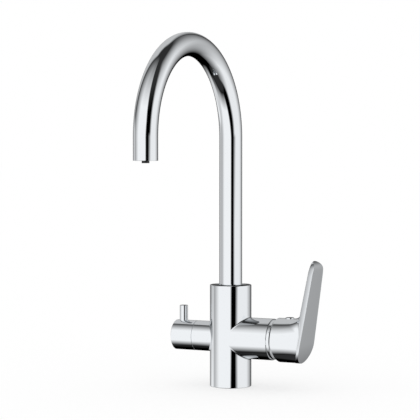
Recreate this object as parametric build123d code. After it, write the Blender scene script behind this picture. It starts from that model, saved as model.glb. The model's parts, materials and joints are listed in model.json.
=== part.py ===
from build123d import *
import os
from math import asin, cos, hypot, radians, sin, sqrt, tan

# A three way kitchen tap: one swivel spout carries mixed water in its tube and
# filtered water in a thin inner tube.  A lever on the right mixes hot and cold,
# and a knob on the left opens the filtered water.
# Millimetres.  The origin is the centre of the base, +Z is up, the spout points
# along -Y, the mixer branch along +X and the filtered water branch along -X.

# ---------------------------------------------------------------- sizes: body
BODY_DIAMETER = 44.0
BODY_HEIGHT = 108.0
BODY_RIM = 0.7                    # rounding of the top and bottom rims
BRANCH_HEIGHT = 51.9              # axis of both branches above the base
BRANCH_SETBACK = 0.15             # mixer branch is this much slimmer, per side
MIXER_BRANCH_END = 50.6           # distance of the branch's end from the axis
BRANCH_LIP = 0.8                  # chamfer on the end of the mixer branch
FILTER_BRANCH_DIAMETER = 32.0
FILTER_BRANCH_END = 39.0
JUNCTION_FILLET = 1.8             # where a branch leaves the body

# -------------------------------------------------- sizes: base and waterways
BASE_SEAL_DIAMETER = 38.0         # middle of the seal
BASE_SEAL_WIDTH = 2.8
BASE_SEAL_DEPTH = 1.6
PORT_CIRCLE_DIAMETER = 19.0
PORT_ANGLES = (180, 60, -60)      # filtered water, then the two supplies
PORT_RADIUS = 4.5                 # tapped M10 x 1
PORT_DEPTH = 15.0
STUD_CIRCLE_DIAMETER = 25.0
STUD_ANGLES = (120, -120)         # two fixing studs between the ports
STUD_HOLE_RADIUS = 2.5            # tapped M6
STUD_HOLE_DEPTH = 14.0
WATERWAY_RADIUS = 2.8
FILTER_OUTLET_RADIUS = 2.0        # drilling from the valve to the inner tube
DRILL_OVERRUN = 1.0               # each drilling runs this far past the one it meets

# --------------------------------------------------------------- sizes: spout
TUBE_DIAMETER = 24.2
TUBE_WALL = 1.2
ARCH_RADIUS = 93.6                # of the tube's centre line
ARCH_CENTRE_HEIGHT = 263.9
OUTLET_DROP = 22.9                # straight end of the tube, below the arch
TUBE_EDGE = 0.5                   # rounding of the tube's outlet edge
SOCKET_DEPTH = 34.0               # spout socket below the top of the body
TUBE_INSERTION = 3.5              # tube that stands inside the socket
SLIP_WASHER_THICKNESS = 1.5
SPIGOT_DIAMETER = 21.04
SPIGOT_BORE_DIAMETER = 15.2
SPIGOT_TAIL_GAP = 2.5             # between the spigot and the socket's floor
SPIGOT_NECK_LENGTH = 10.0         # brazed inside the tube
SPIGOT_RING_SPACING = 6.0
SPIGOT_RING_THICKNESS = 2.0
RETAINING_GROOVE_DROP = 11.0      # groove's middle below the top of the body
RETAINING_GROOVE_WIDTH = 3.4
RETAINING_GROOVE_DEPTH = 1.6
SPOUT_SCREW_RADIUS = 2.0          # M4
SPOUT_SCREW_RECESS = 0.8
SPOUT_SCREW_KEY_RADIUS = 1.2      # six sided socket, to its corners

# -------------------------------------------------- sizes: filtered water line
FILTER_TUBE_DIAMETER = 6.0
FILTER_TUBE_BORE_DIAMETER = 4.0
TAIL_HEAD_DIAMETER = 7.0
TAIL_HEAD_LENGTH = 6.0
TAIL_BARB_LENGTH = 8.0
TAIL_BORE_DIAMETER = 2.4
TAIL_RING_THICKNESS = 1.3
TAIL_HEAD_DROP = 0.32             # of the end piece's head, below the socket's floor
NOZZLE_DIAMETER = 7.4
NOZZLE_PROTRUSION = 2.3           # below the end of the spout
NOZZLE_BORE_DIAMETER = 3.8
NOZZLE_SOCKET_LENGTH = 5.0        # takes the end of the inner tube
NOZZLE_SOCKET_WALL = 1.5

# ------------------------------------------------------------- sizes: aerator
AERATOR_WALL = 1.6
AERATOR_LENGTH = 9.0
AERATOR_RECESS = 0.5
SCREEN_RECESS = 2.0               # screen above the aerator's lower edge
SCREEN_THICKNESS = 1.4
SCREEN_HOLE_ACROSS = 1.3          # six sided holes, across the corners
SCREEN_RING_COUNTS = (14, 20)     # holes in each ring
CORE_THICKNESS = 3.0
CORE_SPOKES = 6
CORE_SPOKE_WIDTH = 1.6
AERATOR_WASHER_THICKNESS = 1.5

# ----------------------------------------------------- sizes: mixer cartridge
CARTRIDGE_DIAMETER = 35.0
CARTRIDGE_SEAT_X = 15.2           # floor of the bore that takes the cartridge
CARTRIDGE_WALL = 2.1
BASE_PLATE_THICKNESS = 4.0
FIXED_DISC_THICKNESS = 4.0
MOVING_DISC_THICKNESS = 4.0
MOVING_DISC_DIAMETER = 24.4
PORT_SEAL_STAND = 0.8             # seals stand out of the base plate
PORT_SEAL_WIDTH = 1.7
DISC_PORT_RADIUS = 3.0
DISC_PORT_CIRCLE_RADIUS = 10.2
INLET_PORT_ANGLE = 126.0          # each inlet from the outlet at the top
PEG_RADIUS = 1.6                  # two pegs locate the base plate
PEG_LENGTH = 2.4
PEG_CIRCLE_RADIUS = 13.5
PEG_ANGLES = (20, 160)
CARRIER_FLANGE_DIAMETER = 21.0
CARRIER_FLANGE_THICKNESS = 1.0
CARRIER_HEIGHT = 5.0
CARRIER_WIDTH = 12.0
CARRIER_LENGTH = 14.0
POCKET_FLOOR = 0.7                # left under the pocket for the spindle's toe
ROTOR_LENGTH = 12.7
HOUSING_LIP_THICKNESS = 1.5
HOUSING_LIP_RADIUS = 13.0
NUT_THREAD_RADIUS = 19.0
NUT_LENGTH = 5.4
NUT_BORE_RADIUS = 13.6
NUT_SLOTS = 4
NUT_SLOT_WIDTH = 4.0
NUT_SLOT_DEPTH = 2.0

# ------------------------------------------------- sizes: lever's spindle
PIVOT_X = 38.0                    # pin that the lever tilts on
PIVOT_PIN_RADIUS = 2.5
PIVOT_PIN_LENGTH = 24.0
SPINDLE_SIDE = 8.0                # square
SPINDLE_EYE_RADIUS = 5.0
SPINDLE_TOE_RADIUS = 2.75
SPINDLE_TOE_OFFSET = 6.4          # toe's centre behind the pivot
SPINDLE_TOE_NECK = 4.4            # height of the web from the eye to the toe
SPINDLE_END_X = 75.5
LEVER_TILT_RANGE = 17.0           # degrees

# ------------------------------------------------------- sizes: collar and lever
COLLAR_STEP = 1.1                 # collar inside the branch's outline
COLLAR_SKIRT = 3.0                # straight part before the dome
COLLAR_THICKNESS = 1.4
COLLAR_OPENING_RADIUS = 12.0
COLLAR_THREAD_LENGTH = 1.3
HUB_DIAMETER = 46.2
HUB_GAP_X = 4.9                   # from the branch's end to the hub's upper edge
HUB_RELIEF_RISE = 4.0             # relief starts this far below the axis
HUB_RELIEF_ANGLE = 10.7           # degrees, cut for the tilt
HUB_STRAIGHT = 4.0                # round part before the hub narrows
HUB_EDGE = 0.6                    # rounding of the hub's open edge
HUB_END_WIDTH = 37.0
HUB_BULGE = 1.5                   # extra width midway, so that the hub narrows late
LEVER_FACE_X = 88.1               # outer face at the height of the branches
LEVER_LEAN = 9.3                 # degrees, outer face
LEVER_BACK_LEAN = 10.3           # degrees, inner face
LEVER_THICKNESS_X = 6.1           # at the height of the branches
LEVER_FOOT_BACK_X = 82.2          # upright back of the lever's foot
LEVER_FOOT_RADIUS = 19.2
LEVER_FOOT_DROP = 3.8             # foot's centre below the branches
LEVER_TIP_RADIUS = 13.8
LEVER_TIP_RISE = 68.9             # tip's centre above the branches
LEVER_END_SLOPE = 30.0            # degrees that the tip's end rises towards the back
LEVER_EDGE = 0.3                  # chamfer round the outer face
LEVER_BACK_EDGE = 1.4             # rounding round the inner face
LEVER_ROOT_FILLET = 8.0           # from the hub's top into the inner face
FLARE_SECTIONS = 5
GRUB_SCREW_RADIUS = 2.5           # M5
GRUB_SCREW_LENGTH = 9.0
GRUB_SCREW_X = 68.7
GRUB_SCREW_KEY_RADIUS = 1.25      # six sided socket, to its corners
INDEX_PLUG_RADIUS = 4.6
INDEX_PLUG_STAND = 1.0            # above the hub's top
INDEX_PLUG_HEAD = 1.9
INDEX_PLUG_STEM_RADIUS = 3.2
INDEX_PLUG_STEM_LENGTH = 4.0

# ------------------------------------------------- sizes: filtered water valve
VALVE_SEAT_X = 17.0               # floor of the valve's bore
VALVE_CHAMBER_RADIUS = 10.6
VALVE_THREAD_RADIUS = 11.3
VALVE_NOSE_LENGTH = 10.4
VALVE_NOSE_WALL = 0.9
VALVE_NOSE_GAP = 1.4              # water's way round the nose
VALVE_NOSE_STAND = 0.45           # nose off the bore's floor, so that the seal bears
VALVE_THREAD_LENGTH = 5.5
VALVE_FLANGE_RADIUS = 12.9
VALVE_FLANGE_THICKNESS = 4.0
VALVE_NECK_RADIUS = 8.0
VALVE_NECK_LENGTH = 3.5
VALVE_DISC_THICKNESS = 3.0
SEAT_SEAL_THICKNESS = 2.4
SEAT_SEAL_BORE_RADIUS = 5.5
BONNET_SEAL_THICKNESS = 1.0
VALVE_DISC_PORT_RADIUS = 1.8
VALVE_WINDOW_WIDTH = 7.0
VALVE_WINDOW_LENGTH = 2.6
VALVE_SPINDLE_RADIUS = 3.95
VALVE_SPINDLE_END_X = 59.5
SPINDLE_DRIVER_THICKNESS = 2.2
SPINDLE_RING_THICKNESS = 1.6
KNOB_END_X = 64.1
KNOB_SEAM = 0.3
KNOB_EDGE = 0.7
KNOB_CAVITY_DEPTH = 3.2
KNOB_WALL = 2.7
PIN_LEVER_RADIUS = 4.4
PIN_LEVER_X = 56.1
PIN_LEVER_TOP = 31.9              # above the branch's axis
PIN_LEVER_EDGE = 0.5
PIN_LEVER_SEAT_DEPTH = 1.4        # below the knob's round surface
PIN_SHANK_RADIUS = 2.5

# --------------------------------------------------------- clearances and fits
RUNNING = 0.08                    # radial, turning parts
PIN_FIT = 0.05                    # radial, pins and small shafts
SNUG = 0.03                       # radial, parts that don't move in their seat
LOOSE = 0.3                       # seats of parts that are clamped endwise
AXIAL_PLAY = 0.1
DOME_GAP = 0.8                    # between the collar's dome and the hub
TOE_PLAY = 0.15
PICK = 0.01                       # how near an edge must lie to be picked by its place

# ------------------------------------------------------------ worked out sizes
BODY_RADIUS = BODY_DIAMETER / 2
MIXER_BRANCH_RADIUS = BODY_RADIUS - BRANCH_SETBACK
FILTER_BRANCH_RADIUS = FILTER_BRANCH_DIAMETER / 2
PORT_CIRCLE_RADIUS = PORT_CIRCLE_DIAMETER / 2
STUD_CIRCLE_RADIUS = STUD_CIRCLE_DIAMETER / 2
TUBE_RADIUS = TUBE_DIAMETER / 2
TUBE_BORE_RADIUS = TUBE_RADIUS - TUBE_WALL
SPIGOT_RADIUS = SPIGOT_DIAMETER / 2
SOCKET_RADIUS = SPIGOT_RADIUS + RUNNING
SOCKET_FLOOR_Z = BODY_HEIGHT - SOCKET_DEPTH
TUBE_FOOT_Z = BODY_HEIGHT - TUBE_INSERTION
SPIGOT_LOW_Z = SOCKET_FLOOR_Z + SPIGOT_TAIL_GAP
GROOVE_Z = BODY_HEIGHT - RETAINING_GROOVE_DROP
OUTLET_HEIGHT = ARCH_CENTRE_HEIGHT - OUTLET_DROP
OUTLET_Y = -2 * ARCH_RADIUS
FILTER_TUBE_RADIUS = FILTER_TUBE_DIAMETER / 2
TAIL_HEAD_RADIUS = TAIL_HEAD_DIAMETER / 2
TAIL_SOCKET_RADIUS = TAIL_HEAD_RADIUS + RUNNING
TAIL_TOP_Z = SOCKET_FLOOR_Z - TAIL_HEAD_DROP
TAIL_LOW_Z = TAIL_TOP_Z - TAIL_HEAD_LENGTH
FILTER_OUTLET_Z = BRANCH_HEIGHT + VALVE_CHAMBER_RADIUS - FILTER_OUTLET_RADIUS - DRILL_OVERRUN
TAIL_SOCKET_FLOOR_Z = FILTER_OUTLET_Z - FILTER_OUTLET_RADIUS - DRILL_OVERRUN
NOZZLE_RADIUS = NOZZLE_DIAMETER / 2
AERATOR_LOW_Z = OUTLET_HEIGHT + AERATOR_RECESS
AERATOR_TOP_Z = AERATOR_LOW_Z + AERATOR_LENGTH
AERATOR_RADIUS = TUBE_BORE_RADIUS - SNUG
AERATOR_BORE_RADIUS = AERATOR_RADIUS - AERATOR_WALL
SCREEN_LOW_Z = AERATOR_LOW_Z + SCREEN_RECESS
CORE_LOW_Z = SCREEN_LOW_Z + SCREEN_THICKNESS
FILTER_TUBE_END_Z = CORE_LOW_Z + CORE_THICKNESS / 2
FILTER_TUBE_START_Z = TAIL_TOP_Z

CARTRIDGE_RADIUS = CARTRIDGE_DIAMETER / 2
CARTRIDGE_BORE_RADIUS = CARTRIDGE_RADIUS + LOOSE
BASE_PLATE_X = CARTRIDGE_SEAT_X + PORT_SEAL_STAND
FIXED_DISC_X = BASE_PLATE_X + BASE_PLATE_THICKNESS
MOVING_DISC_X = FIXED_DISC_X + FIXED_DISC_THICKNESS
CARRIER_X = MOVING_DISC_X + MOVING_DISC_THICKNESS
ROTOR_X = CARRIER_X + CARRIER_FLANGE_THICKNESS + LOOSE
ROTOR_END_X = ROTOR_X + ROTOR_LENGTH
HOUSING_LIP_X = ROTOR_END_X + AXIAL_PLAY
HOUSING_END_X = HOUSING_LIP_X + HOUSING_LIP_THICKNESS
HOUSING_BORE_RADIUS = CARTRIDGE_RADIUS - CARTRIDGE_WALL
ROTOR_RADIUS = HOUSING_BORE_RADIUS - RUNNING
TOE_X = PIVOT_X - SPINDLE_TOE_OFFSET
DISC_TRAVEL = SPINDLE_TOE_OFFSET * sin(radians(LEVER_TILT_RANGE))

COLLAR_RADIUS = MIXER_BRANCH_RADIUS - COLLAR_STEP
DOME_START_X = MIXER_BRANCH_END + COLLAR_SKIRT
DOME_RADIUS = hypot(DOME_START_X - PIVOT_X, COLLAR_RADIUS)
HUB_CAVITY_RADIUS = DOME_RADIUS + DOME_GAP
HUB_RADIUS = HUB_DIAMETER / 2
HUB_X = MIXER_BRANCH_END + HUB_GAP_X
HUB_TOP_Z = BRANCH_HEIGHT + HUB_RADIUS

VALVE_NOSE_X = VALVE_SEAT_X + VALVE_NOSE_STAND
VALVE_THREAD_X = VALVE_NOSE_X + VALVE_NOSE_LENGTH
VALVE_FLANGE_X = VALVE_THREAD_X + VALVE_THREAD_LENGTH
VALVE_NECK_X = VALVE_FLANGE_X + VALVE_FLANGE_THICKNESS
VALVE_NECK_END_X = VALVE_NECK_X + VALVE_NECK_LENGTH
VALVE_NOSE_RADIUS = VALVE_CHAMBER_RADIUS - VALVE_NOSE_GAP
VALVE_CAVITY_RADIUS = VALVE_NOSE_RADIUS - VALVE_NOSE_WALL
VALVE_DISC_RADIUS = VALVE_CAVITY_RADIUS - RUNNING
VALVE_FIXED_DISC_X = VALVE_SEAT_X + SEAT_SEAL_THICKNESS
VALVE_MOVING_DISC_X = VALVE_FIXED_DISC_X + VALVE_DISC_THICKNESS
VALVE_DRIVER_X = VALVE_MOVING_DISC_X + VALVE_DISC_THICKNESS
VALVE_CAVITY_END_X = VALVE_DRIVER_X + SPINDLE_DRIVER_THICKNESS + AXIAL_PLAY
KNOB_START_X = FILTER_BRANCH_END + KNOB_SEAM
KNOB_CAVITY_END_X = KNOB_START_X + KNOB_CAVITY_DEPTH
KNOB_BORE_END_X = VALVE_SPINDLE_END_X + 2 * LOOSE
PIN_SEAT_Z = FILTER_BRANCH_RADIUS - PIN_LEVER_SEAT_DEPTH

MIXER_AXIS = Axis((0, 0, BRANCH_HEIGHT), (1, 0, 0))


# -------------------------------------------------------------------- helpers
def z_cylinder(radius, low, high, x=0.0, y=0.0):
    """An upright cylinder between two heights."""
    return Pos(x, y, (low + high) / 2) * Cylinder(radius, high - low)


def z_ring(outer, inner, low, high, x=0.0, y=0.0):
    """An upright ring between two heights."""
    return z_cylinder(outer, low, high, x, y) - z_cylinder(inner, low, high, x, y)


def x_cylinder(radius, start, end, y=0.0, z=0.0):
    """A cylinder along X; y and z count from the axis of the branches."""
    place = Pos((start + end) / 2, y, BRANCH_HEIGHT + z) * Rot(0, 90, 0)
    return place * Cylinder(radius, abs(end - start))


def x_ring(outer, inner, start, end, y=0.0, z=0.0):
    """A ring along X; y and z count from the axis of the branches."""
    return x_cylinder(outer, start, end, y, z) - x_cylinder(inner, start, end, y, z)


def x_box(start, end, width, low, high):
    """A block along X, centred on Y, between two heights above the branches' axis."""
    place = Pos((start + end) / 2, 0, BRANCH_HEIGHT + (low + high) / 2)
    return place * Box(abs(end - start), width, high - low)


def y_cylinder(radius, start, end, x, z):
    """A cylinder along Y at a given x and z."""
    return Pos(x, (start + end) / 2, z) * Rot(90, 0, 0) * Cylinder(radius, abs(end - start))


def z_o_ring(outer, thickness, z, x=0.0, y=0.0):
    """An upright O-ring that reaches out to a radius."""
    return Pos(x, y, z) * Torus(outer - thickness / 2, thickness / 2)


def x_o_ring(outer, thickness, x):
    """An O-ring round the branches' axis that reaches out to a radius."""
    return Pos(x, 0, BRANCH_HEIGHT) * Rot(0, 90, 0) * Torus(outer - thickness / 2, thickness / 2)


def on_circle(radius, angle):
    """A point on a circle, as two coordinates; the angle is in degrees."""
    return radius * cos(radians(angle)), radius * sin(radians(angle))


def spout_path(low, end):
    """The spout's centre line: up, over the arch towards -Y, and down to the outlet."""
    rise = Line((0, 0, low), (0, 0, ARCH_CENTRE_HEIGHT))
    crown = (0, -ARCH_RADIUS, ARCH_CENTRE_HEIGHT + ARCH_RADIUS)
    far = (0, OUTLET_Y, ARCH_CENTRE_HEIGHT)
    arch = ThreePointArc((0, 0, ARCH_CENTRE_HEIGHT), crown, far)
    drop = Line(far, (0, OUTLET_Y, end))
    return rise + arch + drop


def bent_tube(radius, bore, low, end):
    """A round tube along the spout's centre line."""
    section = Pos(0, 0, low) * (Circle(radius) - Circle(bore))
    return sweep(section, path=spout_path(low, end))


def disc_ports():
    """Where water passes the cartridge's discs, as (y, z) from the branch's axis."""
    angles = (90, 90 - INLET_PORT_ANGLE, 90 + INLET_PORT_ANGLE)
    return [on_circle(DISC_PORT_CIRCLE_RADIUS, angle) for angle in angles]


def hose_ports():
    """Middles of the three hose ports: filtered water, then the two supplies."""
    return [on_circle(PORT_CIRCLE_RADIUS, angle) for angle in PORT_ANGLES]


def stud_holes():
    """Middles of the two tapped holes for the fixing studs."""
    return [on_circle(STUD_CIRCLE_RADIUS, angle) for angle in STUD_ANGLES]


def rim_edges(shape, axis, position, low_radius):
    """Circular edges at a position along an axis that are wider than a radius."""
    at_place = shape.edges().filter_by(GeomType.CIRCLE).filter_by_position(
        axis, position - PICK, position + PICK)
    return [edge for edge in at_place if edge.radius > low_radius]


# ----------------------------------------------------------------------- body
def branch_seams(shape, side):
    """The curved edges where a branch meets the column, on one side of it."""
    plain = (GeomType.CIRCLE, GeomType.LINE)
    curved = [edge for edge in shape.edges() if edge.geom_type not in plain]
    return [edge for edge in curved if (edge @ 0.5).X * side > 0]


def body_outline():
    """The body's outer form: an upright column with a branch on each side."""
    outline = z_cylinder(BODY_RADIUS, 0, BODY_HEIGHT)
    outline = fillet(outline.edges().filter_by(GeomType.CIRCLE), BODY_RIM)
    mixer = x_cylinder(MIXER_BRANCH_RADIUS, 0, MIXER_BRANCH_END)
    outline += chamfer(rim_edges(mixer, Axis.X, MIXER_BRANCH_END, 0), BRANCH_LIP)
    outline = fillet(branch_seams(outline, 1), JUNCTION_FILLET)
    outline += x_cylinder(FILTER_BRANCH_RADIUS, -FILTER_BRANCH_END, 0)
    return fillet(branch_seams(outline, -1), JUNCTION_FILLET)


def mixer_waterways():
    """Drillings from the supplies to the cartridge and on to the spout socket."""
    outlet, cold, hot = disc_ports()
    supplies = hose_ports()[1:]
    cuts = []
    for (x, port_y), (y, z) in zip(supplies, (cold, hot)):
        top = BRANCH_HEIGHT + z + WATERWAY_RADIUS + DRILL_OVERRUN
        cuts.append(z_cylinder(WATERWAY_RADIUS, 0, top, x, port_y))
        cuts.append(x_cylinder(WATERWAY_RADIUS, x, CARTRIDGE_SEAT_X, y, z))
    rise_x = SOCKET_RADIUS - WATERWAY_RADIUS - 2 * LOOSE
    z = outlet[1]
    cuts.append(x_cylinder(WATERWAY_RADIUS, rise_x, CARTRIDGE_SEAT_X, 0, z))
    low = BRANCH_HEIGHT + z - WATERWAY_RADIUS - DRILL_OVERRUN
    cuts.append(z_cylinder(WATERWAY_RADIUS, low, SOCKET_FLOOR_Z, rise_x))
    return cuts


def filter_waterways():
    """Drillings from the filtered water port to the valve and on to the inner tube."""
    x, y = hose_ports()[0]
    top = BRANCH_HEIGHT + WATERWAY_RADIUS + DRILL_OVERRUN
    rise = z_cylinder(WATERWAY_RADIUS, 0, top, x, y)
    inlet = x_cylinder(WATERWAY_RADIUS, -VALVE_SEAT_X, x)
    outlet_z = FILTER_OUTLET_Z - BRANCH_HEIGHT
    outlet = x_cylinder(FILTER_OUTLET_RADIUS, -VALVE_SEAT_X, 0, 0, outlet_z)
    return [rise, inlet, outlet]


def make_tap_body():
    """The cast body with its sockets, bores, ports and waterways."""
    body = body_outline()
    cuts = [
        z_cylinder(SOCKET_RADIUS, SOCKET_FLOOR_Z, BODY_HEIGHT),
        z_cylinder(TUBE_RADIUS + RUNNING, TUBE_FOOT_Z - SLIP_WASHER_THICKNESS, BODY_HEIGHT),
        z_cylinder(TAIL_SOCKET_RADIUS, TAIL_SOCKET_FLOOR_Z, SOCKET_FLOOR_Z),
        y_cylinder(SPOUT_SCREW_RADIUS + SNUG, 0, BODY_RADIUS, 0, GROOVE_Z),
        x_cylinder(CARTRIDGE_BORE_RADIUS, CARTRIDGE_SEAT_X, MIXER_BRANCH_END),
        x_cylinder(NUT_THREAD_RADIUS + SNUG, HOUSING_END_X - AXIAL_PLAY, MIXER_BRANCH_END),
        x_cylinder(VALVE_CHAMBER_RADIUS, -FILTER_BRANCH_END, -VALVE_SEAT_X),
        x_cylinder(VALVE_THREAD_RADIUS + SNUG, -FILTER_BRANCH_END, -VALVE_THREAD_X),
        x_cylinder(VALVE_FLANGE_RADIUS + LOOSE, -FILTER_BRANCH_END,
                   -VALVE_FLANGE_X + BONNET_SEAL_THICKNESS),
    ]
    for y, z in peg_places():
        cuts.append(x_cylinder(PEG_RADIUS + SNUG, CARTRIDGE_SEAT_X - PEG_LENGTH,
                               CARTRIDGE_SEAT_X, y, z))
    for x, y in hose_ports():
        cuts.append(z_cylinder(PORT_RADIUS, 0, PORT_DEPTH, x, y))
    for x, y in stud_holes():
        cuts.append(z_cylinder(STUD_HOLE_RADIUS, 0, STUD_HOLE_DEPTH, x, y))
    seal_inner, seal_outer = base_seal_radii()
    cuts.append(z_ring(seal_outer + SNUG, seal_inner - SNUG, 0, BASE_SEAL_DEPTH))
    for cut in cuts + mixer_waterways() + filter_waterways():
        body -= cut
    return body


def base_seal_radii():
    """Inner and outer radius of the seal under the base."""
    middle = BASE_SEAL_DIAMETER / 2
    return middle - BASE_SEAL_WIDTH / 2, middle + BASE_SEAL_WIDTH / 2


def make_base_seal():
    """The rubber ring in the underside, between the body and the worktop."""
    inner, outer = base_seal_radii()
    return z_ring(outer, inner, 0, BASE_SEAL_DEPTH)


# ---------------------------------------------------------------------- spout
def make_spout_tube():
    """The bent tube, open at both ends."""
    tube = bent_tube(TUBE_RADIUS, TUBE_BORE_RADIUS, TUBE_FOOT_Z, OUTLET_HEIGHT)
    outlet = [
        edge for edge in tube.edges().filter_by(GeomType.CIRCLE)
        if abs(edge.arc_center.Z - OUTLET_HEIGHT) < PICK and edge.radius > TUBE_BORE_RADIUS + PICK
    ]
    return fillet(outlet, TUBE_EDGE)


def spigot_ring_heights():
    """Middles of the two O-rings on the spigot."""
    first = SPIGOT_LOW_Z + SPIGOT_RING_SPACING
    return [first, first + SPIGOT_RING_SPACING]


def make_spout_spigot():
    """The turned foot of the spout: it turns in the socket and is held by its groove."""
    spigot = z_cylinder(SPIGOT_RADIUS, SPIGOT_LOW_Z, TUBE_FOOT_Z)
    spigot += z_cylinder(TUBE_BORE_RADIUS, TUBE_FOOT_Z, TUBE_FOOT_Z + SPIGOT_NECK_LENGTH)
    spigot -= z_cylinder(SPIGOT_BORE_DIAMETER / 2, SPIGOT_LOW_Z, TUBE_FOOT_Z + SPIGOT_NECK_LENGTH)
    ring_floor = SPIGOT_RADIUS - SPIGOT_RING_THICKNESS + PIN_FIT
    half = SPIGOT_RING_THICKNESS / 2 + LOOSE
    for z in spigot_ring_heights():
        spigot -= z_ring(SOCKET_RADIUS, ring_floor, z - half, z + half)
    groove_floor = SPIGOT_RADIUS - RETAINING_GROOVE_DEPTH
    half = RETAINING_GROOVE_WIDTH / 2
    spigot -= z_ring(SOCKET_RADIUS, groove_floor, GROOVE_Z - half, GROOVE_Z + half)
    return spigot


def make_spigot_o_rings():
    """Two O-rings that seal the spigot in its socket."""
    rings = [
        z_o_ring(SPIGOT_RADIUS + PIN_FIT / 2, SPIGOT_RING_THICKNESS - PIN_FIT, z)
        for z in spigot_ring_heights()
    ]
    return Compound(children=rings)


def make_slip_washer():
    """The plastic washer that the tube's foot turns on."""
    low = TUBE_FOOT_Z - SLIP_WASHER_THICKNESS
    return z_ring(TUBE_RADIUS - RUNNING, SPIGOT_RADIUS + LOOSE, low, TUBE_FOOT_Z)


def make_spout_grub_screw():
    """The screw at the back whose dog runs in the spigot's groove."""
    outer_y = BODY_RADIUS - SPOUT_SCREW_RECESS
    thread_end = SOCKET_RADIUS + SPOUT_SCREW_RADIUS
    dog_radius = RETAINING_GROOVE_WIDTH / 2 - LOOSE
    dog_end = SPIGOT_RADIUS - RETAINING_GROOVE_DEPTH + LOOSE
    screw = y_cylinder(SPOUT_SCREW_RADIUS, thread_end, outer_y, 0, GROOVE_Z)
    screw += y_cylinder(dog_radius, dog_end, thread_end, 0, GROOVE_Z)
    key = RegularPolygon(SPOUT_SCREW_KEY_RADIUS, 6)
    socket = Plane(origin=(0, outer_y, GROOVE_Z), z_dir=(0, -1, 0)) * key
    return screw - extrude(socket, SPOUT_SCREW_RADIUS)


# ------------------------------------------------------- filtered water line
def make_filtered_water_tube():
    """The thin inner tube that keeps filtered water apart up to the outlet."""
    bore = FILTER_TUBE_BORE_DIAMETER / 2
    return bent_tube(FILTER_TUBE_RADIUS, bore, FILTER_TUBE_START_Z, FILTER_TUBE_END_Z)


def make_tube_tail():
    """The barbed end piece that turns in the body's centre, under the inner tube."""
    tail = z_cylinder(TAIL_HEAD_RADIUS, TAIL_LOW_Z, TAIL_TOP_Z)
    barb = FILTER_TUBE_BORE_DIAMETER / 2
    tail += z_cylinder(barb, TAIL_TOP_Z, TAIL_TOP_Z + TAIL_BARB_LENGTH)
    tail -= z_cylinder(TAIL_BORE_DIAMETER / 2, TAIL_LOW_Z, TAIL_TOP_Z + TAIL_BARB_LENGTH)
    middle = (TAIL_LOW_Z + TAIL_TOP_Z) / 2
    half = TAIL_RING_THICKNESS / 2 + PIN_FIT
    floor = TAIL_HEAD_RADIUS - TAIL_RING_THICKNESS + PIN_FIT
    return tail - z_ring(TAIL_SOCKET_RADIUS, floor, middle - half, middle + half)


def make_tail_o_ring():
    """The O-ring that seals the inner tube's end piece."""
    middle = (TAIL_LOW_Z + TAIL_TOP_Z) / 2
    return z_o_ring(TAIL_HEAD_RADIUS + PIN_FIT / 2, TAIL_RING_THICKNESS - PIN_FIT, middle)


def make_filtered_nozzle():
    """The small outlet in the middle of the aerator, with a socket for the inner tube."""
    low = OUTLET_HEIGHT - NOZZLE_PROTRUSION
    socket_top = FILTER_TUBE_END_Z + NOZZLE_SOCKET_LENGTH
    socket_radius = FILTER_TUBE_RADIUS + SNUG
    nozzle = z_cylinder(NOZZLE_RADIUS, low, CORE_LOW_Z, 0, OUTLET_Y)
    nozzle += z_cylinder(socket_radius + NOZZLE_SOCKET_WALL, CORE_LOW_Z, socket_top, 0, OUTLET_Y)
    nozzle -= z_cylinder(NOZZLE_BORE_DIAMETER / 2, low, socket_top, 0, OUTLET_Y)
    return nozzle - z_cylinder(socket_radius, FILTER_TUBE_END_Z, socket_top, 0, OUTLET_Y)


# -------------------------------------------------------------------- aerator
def make_aerator_housing():
    """The ring that screws into the end of the spout."""
    return z_ring(AERATOR_RADIUS, AERATOR_BORE_RADIUS, AERATOR_LOW_Z, AERATOR_TOP_Z, 0, OUTLET_Y)


def make_aerator_screen():
    """The pierced plate that mixed water leaves by, round the nozzle."""
    inner = NOZZLE_RADIUS + SNUG
    outer = AERATOR_BORE_RADIUS - SNUG
    top = SCREEN_LOW_Z + SCREEN_THICKNESS
    screen = z_ring(outer, inner, SCREEN_LOW_Z, top, 0, OUTLET_Y)
    holes = []
    rings = len(SCREEN_RING_COUNTS)
    for index, count in enumerate(SCREEN_RING_COUNTS):
        radius = inner + (outer - inner) * (index + 0.5) / rings
        spots = PolarLocations(radius, count)
        holes += [spot * RegularPolygon(SCREEN_HOLE_ACROSS / 2, 6) for spot in spots]
    pattern = Pos(0, OUTLET_Y, SCREEN_LOW_Z) * Sketch(children=holes)
    return screen - extrude(pattern, SCREEN_THICKNESS)


def make_aerator_core():
    """The spoked ring that centres the nozzle above the screen."""
    inner = FILTER_TUBE_RADIUS + SNUG + NOZZLE_SOCKET_WALL + SNUG
    outer = AERATOR_BORE_RADIUS - SNUG
    plate = Circle(inner + AERATOR_WALL) - Circle(inner)
    plate += Circle(outer) - Circle(outer - AERATOR_WALL)
    reach = outer - inner - AERATOR_WALL
    for spot in PolarLocations(inner + AERATOR_WALL / 2, CORE_SPOKES):
        plate += spot * Pos(reach / 2, 0) * Rectangle(reach, CORE_SPOKE_WIDTH)
    return extrude(Pos(0, OUTLET_Y, CORE_LOW_Z) * plate, CORE_THICKNESS)


def make_aerator_washer():
    """The rubber washer above the aerator."""
    top = AERATOR_TOP_Z + AERATOR_WASHER_THICKNESS
    return z_ring(AERATOR_RADIUS, AERATOR_BORE_RADIUS, AERATOR_TOP_Z, top, 0, OUTLET_Y)


# ------------------------------------------------------------ mixer cartridge
def peg_places():
    """Where the two locating pegs stand, as (y, z) from the branch's axis."""
    return [on_circle(PEG_CIRCLE_RADIUS, angle) for angle in PEG_ANGLES]


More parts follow.
